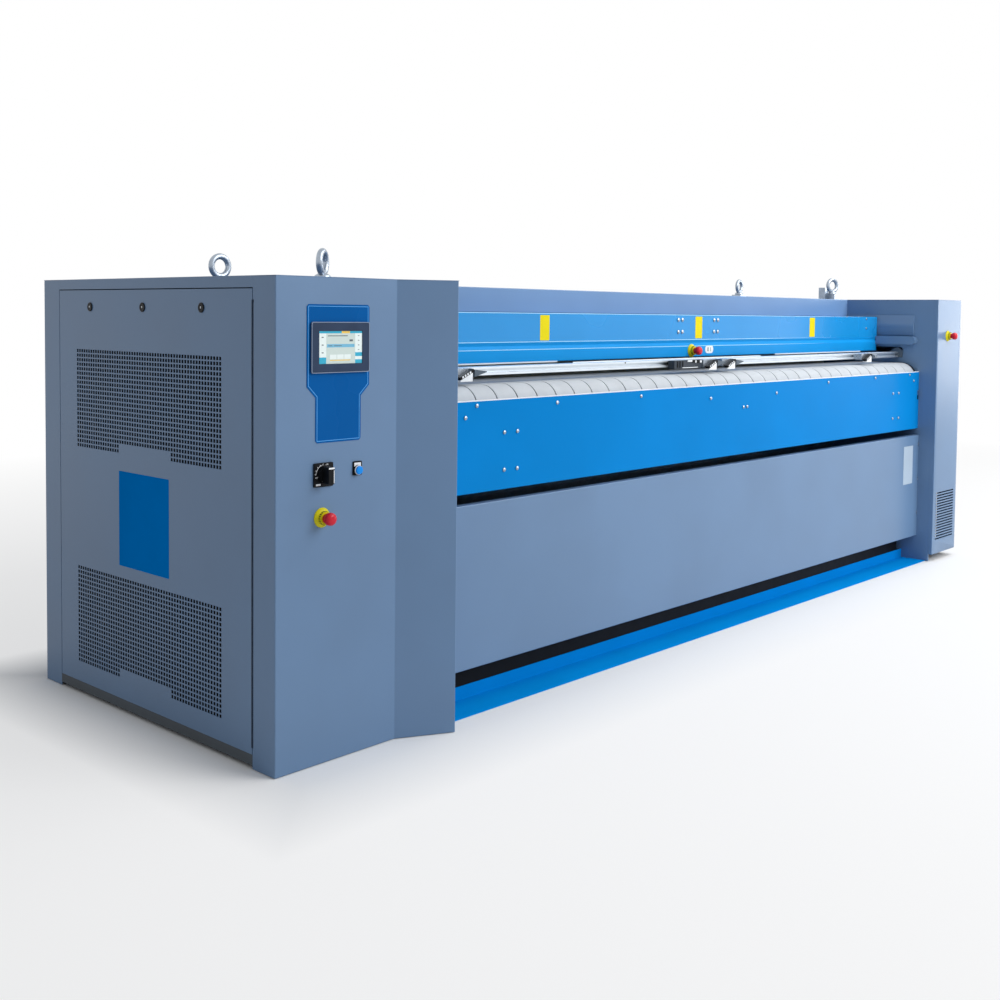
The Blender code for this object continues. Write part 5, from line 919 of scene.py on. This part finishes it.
class IRONER_OT_switches(bpy.types.Operator):
    """Main switch markings, reset label, emergency stops and panel locks"""
    bl_idname = "ironer.switches"
    bl_label = "Switches and stops"

    def execute(self, context):
        self.main_switch()
        self.reset()
        for side in ("left", "centre", "right"):
            self.stop(side)
        for k, (y, z) in enumerate(LOCK_PLACES):
            self.lock(k + 1, y, z)
        return {"FINISHED"}

    @staticmethod
    def main_switch():
        """An arc with five ticks and two words on the plate, and two white painted highlights on the
        knob's top and right edge.
        """
        low, high = machine_box("main_switch_plate")
        x, face, z = (low.x + high.x) / 2, low.y, (low.z + high.z) / 2
        inner, outer, tick_end, half_tick = 0.0270, 0.0282, 0.0315, 0.0006
        bm = bmesh.new()
        segments = 16
        for k in range(segments):
            # The arc from 92 to 178 degrees
            a, b = (math.radians(92 + 86 * (k + s) / segments) for s in (0, 1))
            ring = [(x + r * math.cos(t), z + r * math.sin(t))
                    for r, t in ((outer, a), (outer, b), (inner, b), (inner, a))]
            add_outline(bm, ring, face - PRINT, face)
        for degrees in range(95, 176, 20):
            t = math.radians(degrees)
            ring = [(x + r * math.cos(t) + w * math.sin(t), z + r * math.sin(t) - w * math.cos(t))
                    for r, w in square(0.0285, tick_end, -half_tick, half_tick)]
            add_outline(bm, ring, face - PRINT, face)
        add_block(bm, (low.x + 0.006, face - PRINT, low.z + 0.004),
                  (low.x + 0.022, face, low.z + 0.009))
        letter = 0.0042
        add_word(bm, "ON", letter, x + 0.011, face - CLEAR, high.z - 0.0075)
        add_word(bm, "OFF", letter, low.x + 0.0085, face - CLEAR, z - 0.0085)
        piece("main_switch_marks", bm, ["white_print"], "cabinet", smooth=0)

        low, high = machine_box("main_switch_handle")
        front, left, right = low.y, (low.x + high.x) / 2 - 0.0098, (low.x + high.x) / 2 + 0.0098
        # White strips on the knob's top and right edge: painted highlights
        blocks("main_switch_painted_highlights", [
            ((left, front - PRINT, high.z - 0.0052), (right, front, high.z - 0.0006)),
            ((right - 0.0026, front - PRINT, low.z + 0.003),
             (right - 0.0004, front, high.z - 0.0085))],
            ["white_print"], "main_switch")

    @staticmethod
    def reset():
        """The reset button, the bezel round it and the label over it."""
        low, high = machine_box("reset_plate")
        # The button's collar stands before the plate's face, on which the label is
        collar, margin, tall = low.y, 0.004, 0.0105
        face = collar + 0.004
        blocks("reset_label", [((low.x + margin, face - PRINT, high.z - margin - tall),
                                (high.x - margin, face + PRINT, high.z - margin))],
               ["white_print"], "cabinet")
        low, high = machine_box("reset_button")
        deep, radius = high.y - low.y, (high.x - low.x) / 2
        x, z = (low.x + high.x) / 2, (low.z + high.z) / 2
        turned("reset_button_round", at(x, high.y, z), (0, -1, 0), [
            (0, 0), (0, radius), (deep * 0.8, radius), (deep * 0.93, radius * 0.95),
            (deep, radius * 0.8), (deep, 0)], "blue_polyamide", "reset",
            ("reset_button",))
        bezel, bore = radius + 0.0017, radius + 0.0003
        turned("reset_bezel", at(x, collar, z), (0, -1, 0), [
            (0, bore), (0, bezel), (0.0020, bezel), (0.0026, radius + 0.0009), (0.0026, bore),
            (0, bore)], "white_edge_trim", "cabinet")

    @staticmethod
    def lock(number, y, z):
        """One quarter-turn lock: round rim, a white square drive in it as a painted highlight, and
        the tongue behind.
        """
        name = "left_panel_lock_%d" % number
        rim, drive, half_tongue, tongue_face = 0.0142, 0.0022, 0.006, 0.0117
        reach = 0.028 if machine_box(name)[1].z - z > 0.01 else -0.028
        bm = bmesh.new()
        add_turned(bm, at(tongue_face, y, z), (-1, 0, 0), [
            (0, 0), (0, 0.0095), (0.0114, 0.0095), (0.0120, rim), (0.0140, rim),
            (0.0148, rim - 0.001), (0.0152, rim - 0.003), (0.0146, 0.009), (0.0146, 0)], 40)
        # The square drive is white: a painted highlight at the lock's centre
        add_block(bm, (-0.0034, y - drive, z - drive), (-0.0026, y + drive, z + 0.0034), 1)
        add_block(bm, (tongue_face, y - half_tongue, min(z - half_tongue, z + reach)),
                  (tongue_face + 0.003, y + half_tongue, max(z + half_tongue, z + reach)))
        piece("panel_lock_round_%d" % number, bm, ["black_abs", "white_polyamide"],
              "lock_%d" % number, (name,))

    @staticmethod
    def stop(side):
        """One emergency stop: ring and collar on the cabinet, mushroom head on its own body."""
        middle = machine_centre("estop_base_" + side)
        back = machine_box("estop_base_" + side)[1].y
        centre = at(middle.x, back, middle.z)
        bm = bmesh.new()
        add_turned(bm, centre, (0, -1, 0), [
            (0, 0.0125), (0, 0.0276), (0.0012, 0.0276), (0.0022, 0.0268), (0.0070, 0.0225),
            (0.0080, 0.0212), (0.0086, 0.0184), (0.0170, 0.0180), (0.0180, 0.0172),
            (0.0180, 0.0125), (0, 0.0125)], 64)
        # Dark ribs round the collar
        for t in turns(18):
            outward = Vector((math.cos(t), 0, math.sin(t)))
            across = Vector((-math.sin(t), 0, math.cos(t)))
            add_prism(bm, [[centre + outward * r + across * w + Vector((0, y, 0))
                            for r, w in square(0.0173, 0.0192, -0.0008, 0.0008)]
                           for y in (-0.0100, -0.0165)], 1)
        piece("stop_ring_" + side, bm, ["yellow_polyamide", "dark_print"], "cabinet",
              ("estop_base_" + side,))
        low, high = machine_box("estop_button_" + side)
        tip, start = back - low.y, back - high.y
        turned("stop_head_" + side, centre, (0, -1, 0), [
            (start, 0), (start, 0.0118), (tip - 0.0245, 0.0118), (tip - 0.0235, 0.0150),
            (tip - 0.0200, 0.0172), (tip - 0.0150, 0.0180), (tip - 0.0090, 0.0176),
            (tip - 0.0050, 0.0158), (tip - 0.0022, 0.0124), (tip - 0.0006, 0.0072), (tip, 0)],
            "red_polyamide", "stop_" + side, ("estop_button_" + side,), 64)


# Feed: belts, rail, clamps

def belt_ring(x, lift, steps=28):
    """The belts' path round the two feed rollers in the plane x, lifted off the rollers."""
    rollers = []
    for node in ("nose_feed_roller", "tail_feed_roller"):
        middle = machine_centre(node)
        rollers.append((middle.y, middle.z, machine_box(node)[1].z - middle.z))
    (y1, z1, r1), (y2, z2, r2) = rollers
    span = math.hypot(y2 - y1, z2 - z1)
    slope = math.atan2(z2 - z1, y2 - y1)
    wrap = math.acos((r1 - r2) / span)
    points = []
    for y, z, radius, start, swing in (
            (y2, z2, r2 + lift, slope - wrap, 2 * wrap),
            (y1, z1, r1 + lift, slope + wrap, 2 * math.pi - 2 * wrap)):
        for k in range(steps + 1):
            turn = start + swing * k / steps
            points.append(at(x, y + radius * math.cos(turn), z + radius * math.sin(turn)))
    return points


class IRONER_OT_feed_belts(bpy.types.Operator):
    """Woven belts round the feed rollers, on their bed, and the roll's felt"""
    bl_idname = "ironer.feed_belts"
    bl_label = "Feed belts"

    def execute(self, context):
        sizes = context.scene.ironer_sizes
        low, high = machine_box("feed_belts")
        thick, clear, rim, crown = sizes.belt_thickness, 0.0004, 0.0006, 0.0003
        # The first full belt starts here; a narrow one fills the left end
        first = 0.6310
        right = first + sizes.belt_pitch - sizes.belt_gap
        bm = bmesh.new()
        add_walls(bm, [belt_ring(x, lift) for x, lift in (
            (first, clear), (first, thick - clear), (first + rim, thick + crown),
            (right - rim, thick + crown), (right, thick - clear), (right, clear))], closed=True)
        bmesh.ops.recalc_face_normals(bm, faces=bm.faces)
        mesh = grown("feed_belts_woven", bm, "repeat_on_line", {
            "Count": sizes.belt_count, "Step": (sizes.belt_pitch, 0, 0),
            "Material": bpy.data.materials["woven_polyester_belt"]})
        from_mesh("feed_belts_woven", mesh, ["woven_polyester_belt"], "cabinet",
                  ("feed_belts",))

        edging = 0.0140
        for name, start, end, lift, finish in (
                ("edge_belt", low.x, first - sizes.belt_gap, thick, "woven_polyester_belt"),
                ("belt_edging", high.x - edging + 0.0002, high.x, thick + 0.0008,
                 "black_edge_rubber")):
            bm = bmesh.new()
            add_walls(bm, [belt_ring(x, away) for x, away in
                           ((start, clear), (start, lift), (end, lift), (end, clear))],
                      closed=True)
            piece(name, bm, [finish], "cabinet")
        blocks("belt_bed", [((low.x, 0.214, high.z - 0.033), (high.x, 0.316, high.z - 0.0034))],
               ["ground_steel"], "cabinet")

        low, high = machine_box("roll_padding")
        middle = (low + high) / 2
        radius, length, felt, corner = (high.z - low.z) / 2, high.x - low.x, 0.012, 0.003
        felt_roll = turned(
            "roll_felt", at(low.x, middle.y, middle.z), (1, 0, 0), [
                (0, radius - felt), (0, radius - corner), (corner, radius),
                (length - corner, radius), (length, radius - corner), (length, radius - felt),
                (0, radius - felt)], "needled_aramid_felt", "roll",
            ("roll_padding",), 160)
        return {"FINISHED"}


def broken_edges(machined, width):
    """Small chamfers of a machined part."""
    edge = machined.modifiers.new("Edges", "BEVEL")
    edge.width = width
    edge.segments = 2
    edge.limit_method = "ANGLE"
    edge.angle_limit = math.radians(30)


class IRONER_OT_clamps(bpy.types.Operator):
    """Clamp rail, carriages with their white wedges, toothed upper jaws, and the painted highlights
    above
    """
    bl_idname = "ironer.clamps"
    bl_label = "Clamps and rail"

    def execute(self, context):
        self.rail()
        joints = {joint["name"]: joint for joint in frame["record"]["behaviour"]["joints"]}
        for k in (1, 2, 3, 4):
            self.clamp(k, Vector(joints["jaw_%d_open" % k]["pos_m"]) - CORNER)
        return {"FINISHED"}

    @staticmethod
    def rail():
        """Grooved rail with dark end arms, a white painted highlight on its top, and white painted
        highlights on the beam's lower edge.
        """
        bm = cad_copy("clamp_rail")
        low, high = machine_box("clamp_rail")
        arm = 0.034
        for face in bm.faces:
            x = face.calc_center_median().x - CORNER.x
            face.material_index = 0 if low.x + arm < x < high.x - arm else 1
        rail = piece("clamp_rail_drawn", bm,
                     ["drawn_anodised_aluminium", "graphite_powder_coated_steel"],
                     "rail", ("clamp_rail",), 30)
        broken_edges(rail, 0.0006)

        # The rail's front face, its rear face and the top between them
        face, rear, top = 0.150, 0.200, 1.078
        # A white painted highlight along the rail's top
        blocks("rail_top_painted_highlight", [((1.480, rear - 0.0018, top), (2.798, rear, top + 0.0034))],
               ["white_edge_trim"], "rail")
        plug_radius, plug_deep = 0.0032, 0.00015
        turned("rail_hole_plug", at(1.732, face - 0.00005, 1.0742), (0, -1, 0), [
            (0, 0), (0, plug_radius), (plug_deep, plug_radius), (plug_deep, 0)],
            "black_abs", "rail", segments=20)
        beam = machine_box("front_beam")[0]
        # White painted highlights along the beam's lower edge
        blocks("beam_edge_painted_highlights", [
            ((x0, beam.y - 0.0024, 1.0786), (x1, beam.y - CLEAR, 1.0836))
            for x0, x1 in ((beam.x + 0.10, 1.470), (3.040, 3.90))],
            ["white_edge_trim"], "cabinet")

    def clamp(self, k, pivot):
        """One clamp: carriage, wedge and nose on the carriage's body, upper jaw on its own."""
        # The wedge's half width along the rail, its thickness and how far its top slopes
        half_width, thick, rise = 0.028, 0.018, 0.024
        centre = pivot.x - half_width
        front = machine_box("clamp_jaw_%d" % k)[0].y
        bm = cad_copy("clamp_carriage_%d" % k)
        for face in bm.faces:
            place = face.calc_center_median() - CORNER
            wedge = abs(place.x - centre) < half_width + 0.001 and place.y < front + thick
            drive, nose = place.x < centre - 0.046, place.x > centre + half_width + 0.008
            face.material_index = 1 if wedge else 2 if drive else 3 if nose else 0
        carriage = piece("clamp_carriage_machined_%d" % k, bm,
                         ["zinc_plated_steel", "white_polyamide", "dark_grey_abs",
                          "graphite_powder_coated_steel"],
                         "carriage_%d" % k, ("clamp_carriage_%d" % k,), 30)
        broken_edges(carriage, 0.0005)
        jaw = piece("clamp_jaw_toothed_%d" % k, cad_copy("clamp_jaw_%d" % k), ["black_abs"],
                    "jaw_%d" % k, ("clamp_jaw_%d" % k,), 30)
        broken_edges(jaw, 0.0004)

        slope = math.atan2(rise, 2 * half_width)
        length = 2 * half_width / math.cos(slope)
        teeth, side = 4, 0.0033
        pads = []
        for w in range(teeth):
            middle = -length + (w + 1) * length / (teeth + 1)
            outline = [(pivot.x + a * math.cos(slope) - b * math.sin(slope),
                        pivot.z + a * math.sin(slope) + b * math.cos(slope))
                       for a, b in square(middle - side, middle + side, -side, side)]
            pads.append((outline, front - 0.0005, front + thick * 0.5))
        plates("jaw_grip_pads_%d" % k, pads, ["white_polyamide"], "jaw_%d" % k)
        if k == 2:
            self.drive_details(centre)
        if k == 4:
            turned("end_pulley", at(centre + 0.062, 0.0952, 1.0640), (0, -1, 0), [
                (0.0, 0), (0.0, 0.0095), (0.006, 0.0095), (0.007, 0.0085), (0.007, 0.0055),
                (0.004, 0.005), (0.004, 0)], "zinc_plated_steel", "carriage_4",
                segments=32)

    @staticmethod
    def drive_details(centre):
        """Plugs and a pale cable cover on the drive housing's front face."""
        face = 0.1197
        boxes = [((centre - 0.185, face - 0.0012, 1.0462), (centre - 0.075, face, 1.0490))]
        boxes += [((centre + x0, face - 0.0030, z0), (centre + x1, face, z1), tone)
                  for x0, x1, z0, z1, tone in (
                      (-0.150, -0.118, 1.0705, 1.0772, 0), (-0.114, -0.100, 1.0665, 1.0772, 1),
                      (-0.096, -0.088, 1.0665, 1.0760, 0), (-0.084, -0.066, 1.0640, 1.0772, 1),
                      (-0.062, -0.050, 1.0660, 1.0750, 0), (-0.222, -0.216, 1.0480, 1.0740, 1),
                      (-0.205, -0.199, 1.0480, 1.0740, 1), (-0.186, -0.180, 1.0520, 1.0740, 1))]
        blocks("drive_plugs", boxes, ["white_polyamide", "black_abs"], "carriage_2")


class IRONER_OT_lifting_eyes(bpy.types.Operator):
    """Drop-forged lifting eyes with round rings"""
    bl_idname = "ironer.lifting_eyes"
    bl_label = "Lifting eyes"
    ring = 0.0320
    bar = 0.0100

    def execute(self, context):
        # Each eye's number, its turn in degrees and how high its pad is
        for number, turn, pad in ((1, 34.0, 0.0), (2, 0.0, 0.0), (3, -18.0, 0.030),
                                  (4, 8.0, 0.030)):
            self.eye(number, math.radians(turn), pad)
        return {"FINISHED"}

    def eye(self, number, turn, pad):
        """One eye: ring, collar and pad, and the small block that stands beside the third."""
        node = "lifting_eye_%d" % number
        low, high = machine_box(node)
        middle = (low + high) / 2
        centre = at(middle.x, middle.y, high.z - self.ring - self.bar)
        facing = Vector((math.sin(turn), -math.cos(turn), 0))
        across = Vector((facing.y, -facing.x, 0))
        rings = []
        for t in turns(48):
            out = across * math.cos(t) + Vector((0, 0, math.sin(t)))
            rings.append([centre + out * (self.ring + self.bar * math.cos(s))
                          + facing * self.bar * math.sin(s) for s in turns(16)])
        bm = bmesh.new()
        add_walls(bm, rings, closed=True)
        add_turned(bm, at(middle.x, middle.y, low.z + pad), (0, 0, 1), [
            (0, 0), (0, 0.0235), (0.002, 0.024), (0.008, 0.024), (0.011, 0.0215),
            (0.0145, 0.0150), (0.0185, 0.0120), (0.0185, 0)], 40)
        if pad:
            add_block(bm, (middle.x - 0.030, middle.y - 0.030, low.z),
                      (middle.x + 0.030, middle.y + 0.030, low.z + pad))
        if number == 3:
            add_block(bm, (middle.x - 0.066, middle.y + 0.008, low.z),
                      (middle.x - 0.031, middle.y + 0.046, low.z + 0.066))
        piece("lifting_eye_forged_%d" % number, bm, ["zinc_plated_steel"], "cabinet",
              (node,))


class IRONER_OT_beam_marks(bpy.types.Operator):
    """Blank yellow patches, the stop's label, other small plates and seals, and painted highlights
    and a painted shadow strip
    """
    bl_idname = "ironer.beam_marks"
    bl_label = "Plates and patches"

    def execute(self, context):
        self.on_beam(machine_box("front_beam")[0])
        self.seals(*machine_box("kick_plate"))
        self.on_apron(*machine_box("lower_front_panel"))
        self.on_guard(*machine_box("feed_guard_panel"))
        return {"FINISHED"}

    @staticmethod
    def on_beam(beam):
        """Patches, the label right of the stop, and painted highlights along the folds."""
        face, wide = beam.y - CLEAR, 0.026
        plates("yellow_patches", [
            (rounded(x - wide, x + wide, 1.159, 1.251, 0.003), beam.y - 0.0004, face)
            for x in (1.399, 2.403, 3.390)], ["yellow_vinyl_sheet"], "cabinet")

        bm = bmesh.new()
        add_outline(bm, rounded(2.455, 2.518, 1.0945, 1.1285, 0.0168), beam.y - 0.0005, face)
        add_word(bm, "0 1", 0.017, 2.4865, beam.y - 0.0006, 1.1030, 1)
        piece("stop_label", bm, ["white_print", "dark_print"], "cabinet", smooth=0)

        # Painted highlights along the crease's two folds and the top edge; each line narrows to its
        # right end
        left, narrowing, tall = beam.x + 0.02, 2.90, 0.0024
        plates("beam_fold_painted_highlights", [
            ([(left, z), (narrowing, z), (end, z + tall / 2), (narrowing, z + tall),
              (left, z + tall)], beam.y - 0.0006, face)
            for z, end in ((1.1531, 3.66), (1.1258, 3.60), (1.2560, 3.82))],
            ["pale_blue_powder_coated_steel"], "cabinet")

    @staticmethod
    def seals(low, high):
        """A black strip behind the kick plate as painted shadow, and black rubber on both sides of
        the side panel's seam.
        """
        apron = machine_box("lower_front_panel")[0].z
        # A black strip behind the kick plate's gap: painted shadow
        blocks("kick_painted_shadow_strip", [
            ((low.x + 0.034, high.y + 0.0015, 0.004),
             (high.x - 0.048, high.y + 0.0045, apron + 0.010))],
            ["black_edge_rubber"], "cabinet")
        # The seam's own rubber, a short hook at its top, and the rubber on the panel's edge
        proud, bottom, top, seam = -0.0003, 0.060, 1.285, 0.0999
        blocks("panel_gap_seal", [
            ((proud, 0.0972, bottom), (-0.00005, seam, top)),
            ((proud, 0.0960, 1.277), (-0.00005, seam, top))],
            ["black_edge_rubber"], "cabinet")
        blocks("panel_edge_seal", [((proud, 0.1031, bottom), (0.0, 0.1055, top))],
               ["black_edge_rubber"], "side_panel")

    @staticmethod
    def on_apron(low, high):
        """The lower panel's blank plate and clips."""
        face = low.y - CLEAR
        plates("blank_plate", [(rounded(3.93, 4.037, 0.407, 0.601, 0.003), low.y - 0.0006, face)],
               ["pale_grey_print"], "cabinet")
        blocks("apron_clips", [
            ((high.x - 0.0075, low.y - 0.0022, z - 0.009), (high.x - 0.0012, face, z + 0.009))
            for z in (0.249, 0.427, 0.604)], ["zinc_plated_steel"], "cabinet")

    @staticmethod
    def on_guard(low, high):
        """A white painted highlight along the guard's top edge, and the catch at its right end."""
        face = low.y - CLEAR
        # A white strip along the guard's top edge: painted highlight
        blocks("guard_edge_painted_highlight", [
            ((low.x + 0.004, low.y - 0.0004, high.z - 0.0012),
             (high.x - 0.004, low.y + 0.0032, high.z + 0.0026))],
            ["white_edge_trim"], "cabinet")
        plates("guard_catch", [
            (rounded(high.x - 0.020, high.x - 0.009, 0.858, 0.884, 0.003), low.y - 0.0052,
             face, 0),
            (rounded(high.x - 0.017, high.x - 0.011, 0.836, 0.857, 0.002), low.y - 0.0036,
             face, 1)], ["zinc_plated_steel", "black_abs"], "cabinet")


# Studio

def soft_lamp(name, place, aim, width, height, power):
    """A white rectangular soft lamp that faces a point."""
    light = bpy.data.lights.new(name, "AREA")
    light.shape = "RECTANGLE"
    light.size = width
    light.size_y = height
    light.energy = power
    lamp = bpy.data.objects.new(name, light)
    bpy.context.scene.collection.objects.link(lamp)
    lamp.location = place
    lamp.rotation_euler = (Vector(aim) - Vector(place)).to_track_quat("-Z", "Y").to_euler()


def seen_rays(tree):
    """1 where a camera, a reflection or a clear material looks at the background."""
    path = add_node(tree, "ShaderNodeLightPath")
    seen = path.outputs["Is Camera Ray"]
    for ray in ("Is Glossy Ray", "Is Transmission Ray"):
        seen = add_node(tree, MATH, {0: seen, 1: path.outputs[ray]}, operation="MAXIMUM").outputs[0]
    return seen


class IRONER_OT_stage(bpy.types.Operator):
    """Pale floor, soft lamps, world and the camera at the photograph's view"""
    bl_idname = "ironer.stage"
    bl_label = "Stage and camera"

    def execute(self, context):
        scene = context.scene
        self.floor(scene)
        self.world(scene)
        soft_lamp("key_lamp", (2.0, -6.0, 4.2), (0.3, -0.4, 0.7), 5.0, 2.5, 265)
        soft_lamp("top_lamp", (3.4, -1.5, 4.4), (2.6, 0.4, 0.6), 9.0, 1.8, 150)
        soft_lamp("right_lamp", (6.9, -1.9, 1.45), (3.0, 0.2, 1.15), 1.5, 1.7, 45)
        self.camera(scene)
        scene.view_settings.view_transform = "Standard"
        return {"FINISHED"}

    def floor(self, scene):
        """A wide flat floor under the machine."""
        self.floor_material(scene.ironer_colours.floor)
        bm = bmesh.new()
        bmesh.ops.create_grid(bm, x_segments=1, y_segments=1, size=40)
        mesh = bpy.data.meshes.new("studio_floor")
        bm.to_mesh(mesh)
        bm.free()
        mesh.materials.append(bpy.data.materials["studio_floor"])
        floor = bpy.data.objects.new("studio_floor", mesh)
        scene.collection.objects.link(floor)

    @staticmethod
    def world(scene):
        """A white background over a softer, slightly cool light from all round."""
        world = bpy.data.worlds.new("studio_world")
        scene.world = world
        world.use_nodes = True
        tree = world.node_tree
        tree.nodes.clear()
        air = add_node(tree, "ShaderNodeBackground",
                       {"Color": (0.93, 0.96, 1, 1), "Strength": 0.38})
        back = add_node(tree, "ShaderNodeBackground", {"Color": (1, 1, 1, 1), "Strength": 1.0})
        mixed = add_node(tree, "ShaderNodeMixShader", {0: seen_rays(tree), 1: air, 2: back})
        add_node(tree, "ShaderNodeOutputWorld", {"Surface": mixed})

    @staticmethod
    def camera(scene):
        """The camera where the photograph was taken from, which its edges were fitted to."""
        yaw, pitch, roll = math.radians(47.267), math.radians(2.758), math.radians(-0.601)
        forward = Vector((math.sin(yaw) * math.cos(pitch), math.cos(yaw) * math.cos(pitch),
                          -math.sin(pitch)))
        right = Vector((math.cos(yaw), -math.sin(yaw), 0))
        up = right.cross(forward)
        level = right * math.cos(roll) - up * math.sin(roll)
        rise = right * math.sin(roll) + up * math.cos(roll)
        data = bpy.data.cameras.new("photo_camera")
        data.sensor_width = 36.0
        data.lens = 43.27
        data.shift_y = -0.12785
        data.clip_start = 0.05
        data.clip_end = 100
        camera = bpy.data.objects.new("photo_camera", data)
        scene.collection.objects.link(camera)
        turn = Matrix((level, rise, -forward)).transposed().to_4x4()
        stand = at(-1.9226, -2.5824, 1.2523)
        camera.matrix_world = Matrix.Translation(stand) @ turn
        scene.camera = camera

    @staticmethod
    def floor_material(white):
        """White paper floor: it glows far away and is plain under the machine; the glow fading out
        round the footprint is painted shade.
        """
        tree, place = start_material("studio_floor")
        low, high = CAD_BOX
        middle, half = (low + high) / 2, (high - low) / 2
        parts = add_node(tree, "ShaderNodeSeparateXYZ", {0: place})
        outside = []
        for axis in (0, 1):
            away = parts.outputs[axis]
            for operation, other in (("SUBTRACT", middle[axis]), ("ABSOLUTE", 0.0),
                                     ("SUBTRACT", half[axis])):
                away = add_node(tree, MATH, {0: away, 1: other}, operation=operation)
            outside.append(away)
        beyond = add_node(tree, MATH, {0: outside[0], 1: outside[1]}, operation="MAXIMUM")
        # Painted shade round the footprint: no glow under the machine, most of it 0.3 m away, all of
        # it past 6 m
        near, far = (add_node(tree, "ShaderNodeMapRange", {
            "Value": beyond, "From Min": start, "From Max": end, "To Min": 0.0, "To Max": most})
            for start, end, most in ((-0.02, 0.30, 0.62), (1.5, 6.0, 0.38)))
        share = add_node(tree, MATH, {0: near, 1: far}, operation="ADD")
        shown = add_node(tree, MATH, {0: share, 1: seen_rays(tree)}, operation="MULTIPLY")
        matt = add_node(tree, "ShaderNodeBsdfDiffuse", {"Color": (*white, 1)})
        glow = add_node(tree, "ShaderNodeEmission", {"Color": (1, 1, 1, 1), "Strength": 1.0})
        mixed = add_node(tree, "ShaderNodeMixShader", {0: shown, 1: matt, 2: glow})
        add_node(tree, "ShaderNodeOutputMaterial", {"Surface": mixed})


class IRONER_PT_looks(bpy.types.Panel):
    """Sizes, colours and steps of the ironer's looks"""
    bl_idname = "IRONER_PT_looks"
    bl_label = "Chest ironer"
    bl_space_type = "VIEW_3D"
    bl_region_type = "UI"
    bl_category = "Ironer"

    def draw(self, context):
        for group in (context.scene.ironer_sizes, context.scene.ironer_colours):
            for name in group.bl_rna.properties.keys():
                if name not in ("rna_type", "name"):
                    self.layout.prop(group, name)
        for step in STEPS:
            self.layout.operator(step.bl_idname)


STEPS = (IRONER_OT_stage, IRONER_OT_finishes, IRONER_OT_covers, IRONER_OT_side_panel,
         IRONER_OT_touch_panel, IRONER_OT_switches, IRONER_OT_feed_belts, IRONER_OT_clamps,
         IRONER_OT_lifting_eyes, IRONER_OT_beam_marks, IRONER_OT_fixings)
CLASSES = (IronerSizes, IronerColours) + STEPS + (IRONER_PT_looks,)


def register():
    for cls in CLASSES:
        bpy.utils.register_class(cls)
    bpy.types.Scene.ironer_sizes = bpy.props.PointerProperty(type=IronerSizes)
    bpy.types.Scene.ironer_colours = bpy.props.PointerProperty(type=IronerColours)


def unregister():
    del bpy.types.Scene.ironer_sizes
    del bpy.types.Scene.ironer_colours
    for cls in reversed(CLASSES):
        bpy.utils.unregister_class(cls)


def main():
    """Builds the whole scene."""
    register()
    line_tree()
    vent_tree()
    head_tree()
    for step in STEPS:
        group, name = step.bl_idname.split(".")
        getattr(getattr(bpy.ops, group), name)()
    bpy.context.view_layer.update()


if __name__ == "__main__":
    main()
